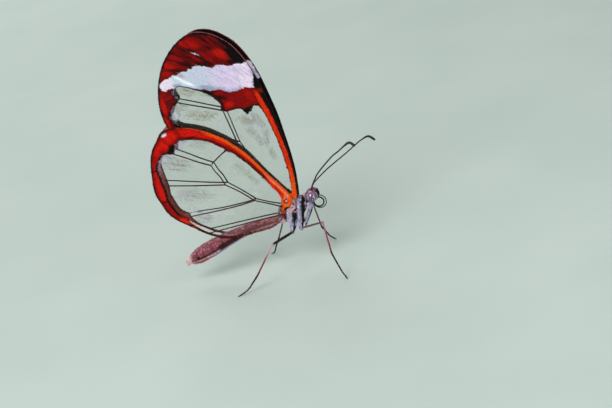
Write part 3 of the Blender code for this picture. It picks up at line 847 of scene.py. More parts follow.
def flat_place(wing, side, places):
    """Spots on the flat wing of places in the model: hang the other way round."""
    turn = math.radians(wing["turn"][side])
    forward = places[:, 0] - wing["hinge"][0]
    up = places[:, 2] - wing["hinge"][1] - wing["lift"][side]
    return np.column_stack([
        forward * math.cos(turn) - up * math.sin(turn) + wing["hinge"][0],
        up * math.cos(turn) + forward * math.sin(turn) + wing["hinge"][1],
    ])


def point_array(piece):
    """All points of a mesh as an array."""
    places = np.zeros(len(piece.data.vertices) * 3, np.float32)
    piece.data.vertices.foreach_get("co", places)
    return places.reshape(-1, 3).astype(float)


def normal_array(piece):
    """All point normals of a mesh as an array."""
    normals = np.zeros(len(piece.data.vertices) * 3, np.float32)
    piece.data.vertex_normals.foreach_get("vector", normals)
    return normals.reshape(-1, 3).astype(float)


GROUND_THICKNESS = 0.06
MEMBRANE_THICKNESS = 0.02
GROUND_STEP = 0.36
MEMBRANE_STEP = 0.8
CLEAR_TONES = [(0.3, srgb(100, 110, 100)), (0.55, srgb(120, 126, 110)), (0.75, srgb(132, 124, 96))]

clear_finish, tree, shader = material_with("clear_membrane")
cloud = add_noise(tree, 2.2, 4.0, (1, 1, 3))
ramp = add_ramp(tree, cloud.outputs["Fac"], CLEAR_TONES)
tree.links.new(ramp.outputs["Color"], shader.inputs["Base Color"])
shader.inputs["Alpha"].default_value = 0.05
shader.inputs["Specular IOR Level"].default_value = 0.3
shader.inputs["Roughness"].default_value = 0.16
add_bump(tree, shader, cloud.outputs["Fac"], 0.05, 0.6)

regions = {}
for wing in (FORE, HIND):
    regions[wing["name"]] = (fill_region(wing["margin"], [wing["window"]], GROUND_STEP),
                             fill_region(wing["margin"][::2], [], MEMBRANE_STEP))
for side, side_name in SIDE_NAMES.items():
    for wing in (FORE, HIND):
        (flat, faces), (clear_flat, clear_faces) = regions[wing["name"]]
        name = wing["name"] + "_" + side_name
        ground = make_plate(name + "_ground", wing, side, flat, faces, GROUND_THICKNESS)
        spots = flat_place(wing, side, point_array(ground))
        outward = normal_array(ground)[:, 1] * side > 0
        tints = np.where(outward[:, None], wing["colour"](spots, True), wing["colour"](spots, False))
        give_tint(ground, tints)
        settle(ground, wing_ground_finish, [name])
        clear = make_plate(name + "_membrane", wing, side, clear_flat, clear_faces, MEMBRANE_THICKNESS)
        settle(clear, clear_finish)

# %% [markdown]
# ## Veins
# Veins are hollow tubes that stiffen the wing, and they stand out of both faces. A curve with a
# round bevel is the direct way to draw such a tube: the radius at each point thins it towards the
# margin. The front edge has the strongest vein, dusky pink where the light catches it.


# %% Tubes from curves
MERGE = 0.0005


def rod(name, points, radii, sides=8):
    """A closed round tube through the points, with a radius at each."""
    line = bpy.data.curves.new(name, "CURVE")
    line.dimensions = "3D"
    line.bevel_depth = 1.0
    line.bevel_resolution = max(0, sides // 2 - 2)
    line.use_fill_caps = True
    spline = line.splines.new("POLY")
    spline.points.add(len(points) - 1)
    for spot, place, radius in zip(spline.points, points, radii):
        spot.co = (*place, 1.0)
        spot.radius = radius
    piece = bpy.data.objects.new(name, line)
    bpy.context.scene.collection.objects.link(piece)
    only(piece)
    bpy.ops.object.convert(target="MESH")
    piece = bpy.context.object
    face_outward(piece, MERGE)
    bpy.ops.object.shade_smooth_by_angle(angle=math.radians(60))
    return piece


def join(pieces, name):
    """Join several meshes into one piece."""
    deselect()
    for piece in pieces:
        piece.select_set(True)
    bpy.context.view_layer.objects.active = pieces[0]
    bpy.ops.object.join()
    pieces[0].name = name
    pieces[0].data.name = name
    return pieces[0]


VEIN_RADIUS = 0.11
EDGE_RADIUS = 0.075
vein_finish = tinted("veins", 0.4, 0.18, 0.0, 0.25, 0.4)
VEIN_RUST = srgb(70, 20, 20)
VEIN_DARK = srgb(10, 5, 6)
# Painted highlight on the forewing's front edge towards its tip.
EDGE_PINK_HIGHLIGHT = srgb(150, 84, 84)
EDGE_ORANGE = srgb(206, 78, 24)


def vein_tint(wing, side, piece):
    """Veins are rusty brown outside, most on the hindwing, and nearly black inside."""
    outward = ease(normal_array(piece)[:, 1] * side, -0.1, 0.5)
    share = outward * (0.95 if wing is HIND else 0.45)
    give_tint(piece, laid(everywhere(VEIN_DARK, outward), VEIN_RUST, share))


for side, side_name in SIDE_NAMES.items():
    for wing in (FORE, HIND):
        name = wing["name"] + "_" + side_name
        tubes = []
        for line in wing["veins"]:
            part = np.linspace(0, 1, len(line))
            tubes.append(rod("vein", hang(wing, side, line, 0.0), VEIN_RADIUS * (1 - 0.2 * part), 6))
        veins = join(tubes, name + "_veins")
        vein_tint(wing, side, veins)
        settle(veins, vein_finish)
        line = wing["front"][1:]
        part = np.linspace(0, 1, len(line))
        edge = rod(name + "_front_edge", hang(wing, side, line, 0.0), EDGE_RADIUS * (1 - 0.3 * part), 6)
        height = flat_place(wing, side, point_array(edge))[:, 1]
        if wing is FORE:
            # The forewing's front edge carries a painted pink highlight towards its tip.
            light, share = EDGE_PINK_HIGHLIGHT, ease(height, 32.5, 33.6)
        else:
            light, share = EDGE_ORANGE, ease(normal_array(edge)[:, 1] * side, -0.2, 0.2)
        give_tint(edge, laid(everywhere(VEIN_DARK, height), light, share))
        settle(edge, vein_finish)

# %% [markdown]
# ## Scales
# The border's colour is made of thousands of tiny scales that overlap like tiles. Each is one
# small closed flake with a raised middle and six faces, and a wing carries several thousand on
# each face, so they are laid as one mesh from arrays: a pattern flake is copied to every spot,
# turned to the lie of the scales there. Long narrow ones make the white band's ragged edge, a
# fringe of fine hair-like ones runs round the margin, and sparse lilac ones thin out into the
# windows. Each flake has its own small patch in the texture map, laid out on the flat wing.

# %% One pattern copied to many spots
# Points and faces of one wing scale and of one tuft of hair, 1 long and 1 wide.
FLAKE = (np.array([(0, 0, -0.4), (0.6, 0.5, 0.1), (0.6, -0.5, 0.1), (1, 0, 0.7), (0.5, 0, 1.0)]),
         np.array([(0, 2, 4), (2, 3, 4), (3, 1, 4), (1, 0, 4), (0, 1, 3), (0, 3, 2)]))
LOCK = (np.array([(0, 0.5, -0.5), (0, -0.5, -0.5), (0.02, 0, 0.1), (0.5, 0.42, 0.55), (0.5, -0.42, 0.55),
                  (0.5, 0, 1.0), (1, 0, 0.6)]),
        np.array([(0, 1, 2), (0, 4, 1), (0, 3, 4), (1, 4, 5), (1, 5, 2), (2, 5, 3), (2, 3, 0),
                  (3, 6, 4), (4, 6, 5), (5, 6, 3)]))
PATCH_SIZE = 0.003


def scatter(name, pattern, roots, ways, normals, lengths, widths, heights, tints, map_places, painted_root_shade):
    """Copy a pattern to every root, lying along its way, as one mesh with tints and texture places."""
    points, faces = pattern
    total, corner = len(roots), len(points)
    aside = np.cross(normals, ways)
    places = (roots[:, None]
              + ways[:, None] * (points[None, :, :1] * lengths[:, None, None])
              + aside[:, None] * (points[None, :, 1:2] * widths[:, None, None])
              + normals[:, None] * (points[None, :, 2:] * heights[:, None, None]))
    all_faces = (faces[None] + (np.arange(total) * corner)[:, None, None]).reshape(-1, 3)
    piece = piece_from(name, places.reshape(-1, 3), all_faces)
    # Each copy is darker at its root and lighter at its tip: painted shade where it tucks under its
    # neighbours, and painted light at the tip.
    light = 1 + painted_root_shade * (points[:, 0] - 0.5) * 2
    give_tint(piece, (tints[:, None] * light[None, :, None]).reshape(-1, 3))
    spread = (points[:, :2] - (0.5, 0.0)) * PATCH_SIZE
    corners = map_places[:, None] + spread[None]
    layer = piece.data.uv_layers.new(name="OFBake")
    layer.data.foreach_set("uv", corners[:, faces.ravel()].astype(np.float32).ravel())
    return piece


# %% Scales of a wing
SCALE_STEP = 0.15
SCALE_LENGTH, SCALE_WIDTH, SCALE_HEIGHT = 0.4, 0.19, 0.03
HAIR_STEP = 0.13
HAZE_STEP = 0.11
HEM_HAIR = srgb(186, 112, 136)
FRINGE_ROSE = srgb(190, 140, 150)


def scale_spots(wing):
    """Roots of the tile-like scales: all over the border, straying a little into the window."""
    spots = lattice(wing["margin"], SCALE_STEP, 0.3, random)
    edge = distance_to(spots, wing["window"], closed=True)
    tips = spots + scale_ways(wing, spots) * SCALE_LENGTH * 0.75
    keep = inside(spots, wing["margin"]) & inside(tips, wing["margin"])
    keep &= distance_to(spots, wing["margin"], closed=True) > 0.05
    keep &= ~(inside(spots, wing["window"]) & (edge > random.exponential(0.04, len(spots))))
    return spots[keep]


FOLD_BROWN = srgb(160, 150, 124)
FOLD_MAUVE = srgb(166, 152, 164)
FOLD_OLIVE = srgb(156, 158, 122)
FOLD_WHITE = srgb(226, 226, 234)
# Folds and blooms of the membrane: centre, half length, half width, angle, how dense, and colour.
FOLDS = {
    "forewing": [
        ((-11.6, 31.0), 1.8, 0.7, -32, 0.4, FOLD_BROWN), ((-10.7, 26.8), 3.2, 0.85, -15, 0.32, FOLD_BROWN),
        ((-9.3, 26.6), 1.7, 0.4, -20, 0.35, FOLD_OLIVE), ((-4.2, 24.7), 1.6, 0.85, -31, 0.35, FOLD_BROWN),
        ((-2.3, 24.2), 1.7, 0.4, -64, 0.4, FOLD_MAUVE), ((-1.8, 21.5), 1.9, 0.45, -93, 0.35, FOLD_MAUVE),
        ((-3.8, 22.8), 1.3, 0.45, -57, 0.35, FOLD_MAUVE), ((-2.8, 21.0), 1.6, 0.45, -67, 0.35, FOLD_MAUVE),
        ((-2.3, 20.1), 0.7, 0.5, -55, 0.35, FOLD_WHITE), ((-1.5, 18.7), 1.3, 0.5, -76, 0.35, FOLD_OLIVE),
        ((-13.0, 28.8), 1.2, 0.6, -33, 0.35, FOLD_BROWN), ((-9.0, 30.0), 2.0, 0.3, -25, 0.35, FOLD_OLIVE),
        ((-3.4, 24.6), 0.8, 0.35, -70, 0.5, FOLD_BROWN), ((-14.1, 27.6), 0.95, 0.62, -100, 1.0, FOLD_WHITE),
        ((-3.2, 25.2), 0.5, 0.28, -53, 0.8, FOLD_WHITE)],
    "hindwing": [
        ((-6.2, 16.8), 2.9, 0.75, -53, 0.25, FOLD_OLIVE), ((-7.1, 17.8), 1.3, 0.2, -51, 0.35, FOLD_WHITE),
        ((-5.1, 15.2), 1.0, 0.4, -53, 0.35, FOLD_OLIVE), ((-15.9, 20.0), 2.6, 0.85, -26, 0.28, FOLD_MAUVE),
        ((-16.0, 19.5), 2.2, 0.27, -18, 0.45, FOLD_BROWN), ((-17.3, 20.7), 0.9, 0.35, -46, 0.5, FOLD_MAUVE),
        ((-14.9, 14.7), 3.4, 1.2, -14, 0.25, FOLD_MAUVE), ((-13.5, 14.3), 2.5, 0.27, -14, 0.4, FOLD_OLIVE),
        ((-14.2, 10.8), 1.9, 0.8, -28, 0.3, FOLD_MAUVE), ((-11.4, 11.4), 2.9, 0.6, -14, 0.25, FOLD_WHITE),
        ((-12.0, 22.5), 1.7, 0.6, -22, 0.25, FOLD_OLIVE), ((-15.2, 12.2), 0.9, 0.27, -11, 0.7, FOLD_WHITE),
        ((-5.0, 13.0), 1.1, 0.4, -15, 0.35, FOLD_WHITE), ((-9.7, 15.1), 0.6, 0.3, -29, 0.4, FOLD_WHITE),
        ((-14.3, 23.4), 0.9, 0.6, 36, 0.6, LILAC), ((-17.7, 21.5), 0.9, 0.42, 49, 0.7, LILAC),
        ((-15.4, 22.15), 0.7, 0.2, -33, 0.5, FOLD_WHITE)],
}


def haze_spots(wing):
    """Roots of the hair-like scales inside the window, and their colours."""
    spots = lattice(wing["margin"], HAZE_STEP, 0.5, random)
    spots = spots[inside(spots, wing["window"])]
    edge = distance_to(spots, wing["window"], closed=True)
    high = ease(spots[:, 1], 26.0, 27.0) if wing is FORE else ease(spots[:, 1], 18.5, 20.5)
    dense = (0.3 * ease(spots[:, 0], -11.0, -15.0) * high * np.exp(-edge / 0.45)
             + 0.05 * np.exp(-edge / 0.15))
    tints = np.where(dense[:, None] > 0.02, LILAC, FOLD_BROWN)
    if wing is HIND:
        in_front = ease(distance_to(spots, wing["front"]), 1.5, 1.3) * ease(spots[:, 0], -11.0, -9.0)
        hem = 0.7 * in_front * np.exp(-edge / 0.09)
        tints = np.where((hem > 0.1)[:, None], HEM_HAIR, tints)
        dense = np.maximum(dense, hem)
    dense = np.maximum(dense, 0.01)
    draw = random.random(len(spots))
    for centre, long, wide, angle, most, tone in FOLDS[wing["name"]]:
        here = most * patch(spots, centre, long, wide, angle)
        tints = np.where((here * random.random(len(spots)) > dense * 0.5)[:, None], tone, tints)
        dense = np.maximum(dense, here)
    keep = draw < dense
    return spots[keep], tints[keep]


def rough(ways, spread):
    """Ways turned a little at random."""
    turn = random.normal(0, spread, len(ways))
    c, s = np.cos(turn), np.sin(turn)
    return np.column_stack([ways[:, 0] * c - ways[:, 1] * s, ways[:, 0] * s + ways[:, 1] * c])


def lay_scales(outer, flat, ways, lengths, widths, heights, tints):
    """Rows of what scatter needs for scales on one face of the flat wing."""
    return {"flat": flat, "ways": ways, "lengths": lengths, "widths": widths, "heights": heights,
            "tints": tints, "outer": np.full(len(flat), outer)}


def face_scales(wing, outer):
    """All scales on one face of a wing."""
    rows = []
    flat = scale_spots(wing)
    total = len(flat)
    seen = flat + scale_ways(wing, flat) * SCALE_LENGTH * 0.7
    tints = wing["colour"](seen, outer) * random.uniform(0.72, 1.22, (total, 1))
    rows.append(lay_scales(outer, flat, rough(scale_ways(wing, flat), 0.12),
                           SCALE_LENGTH * random.uniform(0.8, 1.2, total),
                           SCALE_WIDTH * random.uniform(0.8, 1.2, total),
                           SCALE_HEIGHT * random.uniform(0.6, 1.4, total), tints))
    flat, tints = haze_spots(wing)
    total = len(flat)
    tints = tints * random.uniform(0.8, 1.15, (total, 1))
    rows.append(lay_scales(outer, flat, rough(scale_ways(wing, flat), 0.2),
                           random.uniform(0.2, 0.45, total), random.uniform(0.025, 0.04, total),
                           random.uniform(0.015, 0.025, total), tints))
    if wing is FORE:
        flat = lattice(BAND, HAIR_STEP, 0.35, random)
        lengths = random.uniform(0.5, 1.3, len(flat))
        lie = scale_ways(wing, flat)
        keep = inside(flat, BAND) & inside(flat + lie * 0.85 * lengths[:, None], BAND)
        flat, lie, lengths = flat[keep], lie[keep], lengths[keep]
        total = len(flat)
        middle = flat + lie * 0.6 * lengths[:, None]
        streak = grain(middle, lie, 0.3, 2.4, 3.0) + random.normal(0, 0.3, total)
        tints = white_colour(middle, streak) * random.uniform(0.84, 1.08, (total, 1))
        rows.append(lay_scales(outer, flat, rough(lie, 0.06), lengths,
                               random.uniform(0.07, 0.13, total),
                               random.uniform(0.03, 0.06, total), tints))
    return rows


def fringe(wing):
    """The fringe of fine scales that stands out from the margin."""
    run = walk(wing["margin"], 0.07, closed=True)
    tangent = unit(np.roll(run, -1, axis=0) - np.roll(run, 1, axis=0))
    out = np.column_stack([-tangent[:, 1], tangent[:, 0]])
    inward = inside(run + out * 0.1, wing["margin"])
    out[inward] *= -1
    behind = distance_to(run, wing["front"]) > 0.4
    run, out = run[behind], out[behind]
    total = len(run)
    tints = everywhere(BLACK, run)
    if wing is HIND:
        pale = ease(run[:, 0], -10.5, -7.5) * ease(run[:, 1], 9.5, 8.5)
        tints = laid(tints, FRINGE_ROSE, pale * (random.random(total) < 0.7))
    tints = tints * random.uniform(0.8, 1.5, (total, 1))
    ways = unit(rough(out, 0.12) + 0.35 * scale_ways(wing, run))
    return lay_scales(True, run - out * 0.16, ways, random.uniform(0.16, 0.26, total),
                      random.uniform(0.05, 0.08, total), random.uniform(0.01, 0.03, total), tints)


def gathered(rows, key):
    """One array of all rows' values for a key."""
    return np.concatenate([row[key] for row in rows])


for wing in (FORE, HIND):
    rows = face_scales(wing, True) + face_scales(wing, False) + [fringe(wing)]
    flat, ways, outer = gathered(rows, "flat"), gathered(rows, "ways"), gathered(rows, "outer")
    low = wing["margin"].min(axis=0) - 1
    size = np.ptp(wing["margin"], axis=0).max() + 2
    map_places = (flat - low) / size
    map_places[:, 0] = map_places[:, 0] * 0.5 + np.where(outer, 0.0, 0.5)
    for side, side_name in SIDE_NAMES.items():
        facing = np.where(outer, 1.0, -1.0)
        roots = hang(wing, side, flat, GROUND_THICKNESS / 2 * facing)
        ahead = hang(wing, side, flat + ways * 0.05, GROUND_THICKNESS / 2 * facing)
        normals = np.column_stack([np.zeros(len(flat)), side * facing, np.zeros(len(flat))])
        coat = scatter(f"{wing['name']}_{side_name}_scales", FLAKE, roots, unit(ahead - roots), normals,
                       gathered(rows, "lengths"), gathered(rows, "widths"), gathered(rows, "heights"),
                       gathered(rows, "tints"), map_places, 0.12)
        settle(coat, wing_scale_finish)

# %% [markdown]
# ## The body's skin
# Thorax, abdomen, head and hips are one body on the real animal, so one skin replaces their
# solids. Each form is a circle extruded from station to station, as by hand. Joined, they are
# rebuilt by a voxel Remesh, which melts the seams, and smoothed. The stations follow the solids,
# drawn in by the depth of the coat, with the abdomen a little higher and fuller than its solid.


# %% Forms extruded from a circle
def loft(name, stations, sides=24, step=0.25):
    """A closed form through (forward, out, up, half width, half height) stations."""
    rows = walk(stations, step)
    centres = [Vector(row[:3]) for row in rows]
    last = len(rows) - 1
    deselect()
    bpy.ops.mesh.primitive_circle_add(vertices=sides, radius=1.0, fill_type="NGON")
    piece = bpy.context.object
    piece.name = name
    bpy.ops.object.mode_set(mode="EDIT")
    frame_now = (Vector((0, 0, 0)), Vector((1, 0, 0)), Vector((0, 1, 0)), 1.0, 1.0)
    for i, row in enumerate(rows):
        if i:
            bpy.ops.mesh.extrude_region_move()
        tangent = (centres[min(i + 1, last)] - centres[max(i - 1, 0)]).normalized()
        wide = (Vector((0, 1, 0)) - tangent * tangent.y).normalized()
        high = wide.cross(tangent)
        frame_next = (centres[i], wide, high, row[3], row[4])
        bpy.ops.object.mode_set(mode="OBJECT")
        for point in piece.data.vertices:
            if point.select:
                away = point.co - frame_now[0]
                point.co = (frame_next[0]
                            + frame_next[1] * (away.dot(frame_now[1]) / frame_now[3] * frame_next[3])
                            + frame_next[2] * (away.dot(frame_now[2]) / frame_now[4] * frame_next[4]))
        bpy.ops.object.mode_set(mode="EDIT")
        frame_now = frame_next
    face_outward(piece)
    return piece


THORAX_COAT, ABDOMEN_COAT, HEAD_COAT = 0.12, 0.04, 0.06
THORAX = [(-2.95, 8.05, 0.5, 0.5), (-2.5, 8.3, 0.75, 0.85), (-1.9, 8.8, 1.02, 1.4),
          (-1.2, 9.2, 1.15, 1.8), (-0.3, 9.65, 1.18, 1.85), (0.5, 10.1, 1.1, 1.5),
          (1.1, 10.5, 0.95, 1.1), (1.5, 10.8, 0.7, 0.75), (1.8, 10.97, 0.5, 0.5)]
ABDOMEN = [(-2.7, 8.2, 0.5, 0.55), (-3.42, 8.15, 0.48, 0.58), (-4.8, 8.05, 0.6, 0.68),
           (-6.8, 7.78, 0.7, 0.79), (-9.4, 7.18, 0.8, 0.95), (-12.0, 6.37, 0.95, 1.17),
           (-14.1, 5.58, 1.07, 1.31), (-15.8, 4.96, 1.02, 1.27), (-17.2, 4.46, 0.8, 1.0),
           (-18.2, 4.08, 0.46, 0.61), (-18.7, 3.92, 0.2, 0.26)]
HEAD = [(1.6, 10.9, 0.42, 0.45), (1.9, 11.0, 0.4, 0.45), (2.2, 11.1, 0.55, 0.68), (2.6, 11.2, 0.72, 0.9),
        (3.0, 11.25, 0.72, 0.88), (3.35, 11.2, 0.56, 0.7), (3.62, 11.05, 0.3, 0.42)]
HIPS = {
    ("mid", RIGHT): [(0.4, 0.62, 8.6), (0.26, 0.78, 7.7), (0.14, 1.0, 6.9), (0.12, 1.15, 6.35)],
    ("hind", RIGHT): [(-0.8, 0.55, 8.4), (-0.95, 0.75, 7.4), (-1.2, 0.98, 6.7), (-1.42, 1.15, 6.1)],
}
for pair in ("mid", "hind"):
    HIPS[(pair, LEFT)] = HIPS[(pair, RIGHT)]
HIP_WIDTHS = {"mid": [0.46, 0.4, 0.33, 0.19], "hind": [0.5, 0.46, 0.38, 0.2]}


def in_middle(stations, drawn_in):
    """Stations in the middle plane, drawn in by the depth of the coat."""
    return [(x, 0, z, wide - drawn_in, high - drawn_in) for x, z, wide, high in stations]


def bulge(name, centre, size):
    """A rounded swelling of the skin."""
    deselect()
    bpy.ops.mesh.primitive_uv_sphere_add(segments=20, ring_count=12, radius=1.0, location=centre,
                                         scale=size)
    piece = bpy.context.object
    bpy.ops.object.transform_apply(location=True, rotation=False, scale=True)
    piece.name = name
    return piece


# Swellings of the thorax on each side: name, centre and half sizes.
SWELLINGS = [
    ("shoulder", (0.45, 0.66, 10.95), (0.5, 0.3, 0.42)),
    ("hind_shoulder", (-1.15, 0.82, 10.0), (0.6, 0.28, 0.5)),
    ("side_plate", (0.55, 0.72, 9.3), (0.42, 0.42, 1.2)),
    ("rear_plate", (-1.2, 0.72, 8.5), (0.42, 0.42, 1.0)),
]
VOXEL = 0.085
SMOOTH_SHARE, SMOOTH_ROUNDS = 0.6, 6
forms = [loft("thorax_form", in_middle(THORAX, THORAX_COAT)),
         loft("abdomen_form", in_middle(ABDOMEN, ABDOMEN_COAT)),
         loft("head_form", in_middle(HEAD, HEAD_COAT), step=0.15)]
for (pair, side), line in HIPS.items():
    stations = [(x, y * side, z, wide * 0.8, wide) for (x, y, z), wide in zip(line, HIP_WIDTHS[pair])]
    forms.append(loft(f"hip_{pair}_{side}", stations, 16, 0.2))
for side in (LEFT, RIGHT):
    for form_name, (x, y, z), size in SWELLINGS:
        forms.append(bulge(form_name, (x, y * side, z), size))
skin = join(forms, "body_skin")
only(skin)
remesh = skin.modifiers.new("one skin", "REMESH")
remesh.mode = "VOXEL"
remesh.voxel_size = VOXEL
bpy.ops.object.modifier_apply(modifier=remesh.name)
soften = skin.modifiers.new("soften", "SMOOTH")
soften.factor = SMOOTH_SHARE
soften.iterations = SMOOTH_ROUNDS
bpy.ops.object.modifier_apply(modifier=soften.name)
bpy.ops.object.shade_smooth()
print("the body's skin has", len(skin.data.vertices), "points")

# %% [markdown]
# ## Rings and markings of the body
# The abdomen is built of rings that slide into each other, so the skin is drawn in at each joint
# and swells behind it. The markings follow the animal: pale and dark bands run down the sides of
# the thorax and on into the hips, the abdomen is mauve above with a dark stripe along its side,
# pale below and orange under the tip, and the head is mottled.

# %% Rings
RING_EDGES = [-4.6, -6.4, -8.3, -10.3, -12.3, -14.1, -15.6, -16.8]
RING_DEPTH = 0.07


def ring_shape(forward):
    """How far the abdomen's skin stands in or out at a place along it."""
    edges = np.array(RING_EDGES)
    behind = edges[None, :] - forward[:, None]
    groove = np.exp(-(behind / 0.1) ** 2).sum(axis=1)
    lip = np.exp(-((behind + 0.22) / 0.16) ** 2).sum(axis=1)
    return RING_DEPTH * (0.5 * lip - groove)


places = point_array(skin)
normals = normal_array(skin)
on_abdomen = ease(places[:, 0], -3.4, -4.2)
places += normals * (ring_shape(places[:, 0]) * on_abdomen)[:, None]
skin.data.vertices.foreach_set("co", places.astype(np.float32).ravel())
skin.data.update()

# %% Markings
BODY_PALE = srgb(206, 196, 222)
BODY_GREY = srgb(150, 148, 182)
BODY_DARK = srgb(16, 6, 10)
BODY_BROWN = srgb(92, 34, 24)
BODY_PINK = srgb(232, 200, 212)
BODY_WHITE = srgb(236, 222, 238)
BODY_LINE = srgb(210, 188, 206)
BODY_RUST = srgb(96, 24, 30)
BODY_ROSE = srgb(232, 198, 208)
BODY_RED = srgb(84, 14, 16)
HIP_BLUE = srgb(160, 176, 206)
FACE = srgb(112, 88, 108)
CROWN = srgb(168, 112, 146)
MAUVE = srgb(140, 70, 80)
MAUVE_PALE = srgb(178, 122, 136)
MAUVE_RED = srgb(108, 36, 46)
MAUVE_PINK = srgb(186, 128, 140)
MAUVE_ROOT = srgb(168, 100, 112)
BACK_HIGHLIGHT = srgb(210, 128, 126)
RING_DARK = srgb(70, 30, 38)
STRIPE = srgb(50, 4, 10)
BELLY = srgb(170, 160, 192)
BELLY_PINK = srgb(216, 168, 178)
TIP_ORANGE = srgb(178, 92, 52)
TIP_PALE = srgb(236, 200, 200)
LINE_OF_ABDOMEN = walk([(x, z, high) for x, z, wide, high in ABDOMEN], 0.2)


def between(value, start, end, soft=0.08):
    """1 between start and end, with soft edges."""
    return ease(value, start - soft, start + soft) * ease(value, end + soft, end - soft)


def mottle(places, size, seed):
    """Blotches from -1 to 1 over places in the model."""
    return np.array([noise.noise((x / size, y / size, z / size + seed)) for x, y, z in places]) * 1.6


HIP_LINES = {
    "mid": [(8.8, 0.4), (7.7, 0.26), (6.9, 0.14), (6.3, 0.12)],
    "hind": [(8.4, -0.8), (7.4, -0.95), (6.7, -1.2), (6.1, -1.42)],
}


def ahead_of_hip(places, pair):
    """How far each place lies ahead of a hip's middle line."""
    line = np.array(HIP_LINES[pair])[::-1]
    return places[:, 0] - np.interp(places[:, 2], line[:, 0], line[:, 1])


def thorax_colour(places, blotch):
    """Pale and dark bands down the sides of the thorax and on into the hips."""
    forward, across, up = places[:, 0], np.abs(places[:, 1]), places[:, 2]
    slant = forward - 0.18 * (up - 9.3) + 0.06 * blotch
    colour = laid(everywhere(BODY_BROWN, places), BODY_DARK, ease(blotch, -0.25, 0.4))
    pale = between(slant, 0.18, 0.74)
    colour = laid(colour, BODY_PALE, pale)
    colour = laid(colour, BODY_GREY, pale * ease(slant, 0.4, 0.6) * ease(blotch, -0.6, 0.2))
    colour = laid(colour, BODY_WHITE, pale * ease(np.abs(slant - 0.35), 0.14, 0.04)
                  * ease(blotch, -0.1, 0.4))
    colour = laid(colour, BODY_DARK, between(slant, 0.76, 1.3, 0.04))
    colour = laid(colour, BODY_LINE, between(slant, 1.32, 1.5, 0.04) * ease(up, 8.8, 9.3)
                  * ease(blotch, -0.6, 0.0))
    colour = laid(colour, BODY_DARK, between(slant, 1.52, 1.75, 0.04))
    mottled = between(slant, -0.85, 0.14) * ease(up, 9.0, 9.5)
    colour = laid(colour, BODY_RUST, mottled)
    colour = laid(colour, BODY_ROSE, mottled * ease(blotch, -0.2, 0.2))
    rear = between(slant, -1.5, -0.72)
    colour = laid(colour, BODY_PALE, rear * ease(up, 10.0, 9.6))
    colour = laid(colour, BODY_PINK, 0.8 * rear * between(up, 9.5, 10.1) * ease(blotch, 0.2, -0.2))
    colour = laid(colour, BODY_DARK, between(slant, -0.7, -0.35) * ease(up, 9.8, 9.2))
    colour = laid(colour, BODY_DARK, between(slant, -0.3, 0.1) * ease(up, 9.2, 8.6))
    colour = laid(colour, BODY_RED, between(slant, -2.1, -1.52) * ease(up, 9.6, 9.2))
    colour = laid(colour, BODY_PINK, 0.7 * ease(slant, -2.1, -2.4) * ease(blotch, 0.4, -0.1))
    top = ease(up - 0.42 * forward, 10.9, 11.25)
    colour = laid(colour, BODY_DARK, 0.85 * top * ease(forward, 1.5, 1.1))
    colour = laid(colour, BODY_PALE, top * ease(across, 0.2, 0.08) * ease(blotch, -0.6, 0.0))
    for pair, start in (("mid", 8.2), ("hind", 8.0)):
        ahead = ahead_of_hip(places, pair)
        on_hip = ease(up, start, start - 0.4) * ease(np.abs(ahead), 0.75, 0.6)
        hip = laid(everywhere(BODY_PALE, places), BODY_GREY, ease(blotch, -0.1, 0.6))
        edge = ease(ahead, 0.06, 0.16) if pair == "hind" else ease(ahead, 0.13, 0.22)
        hip = laid(hip, BODY_DARK, edge)
        if pair == "hind":
            hip = laid(hip, HIP_BLUE, ease(ahead, 0.26, 0.36) * ease(up, 6.9, 7.2))
        colour = laid(colour, hip, on_hip)
    return colour


def head_colour(places, blotch):
    """A mottled head: dark face, mauve crown and a pale crescent behind the eye."""
    forward, up = places[:, 0], places[:, 2]
    face = laid(everywhere(FACE, places), BODY_DARK, ease(blotch, -0.2, 0.3))
    face = laid(face, CROWN, 0.9 * ease(up, 11.6, 11.85) * ease(blotch, 0.8, 0.1))
    crescent = ease(forward, 2.3, 2.15) * ease(forward, 1.95, 2.05) * ease(up, 11.7, 11.4)
    return laid(face, BODY_PALE, crescent)


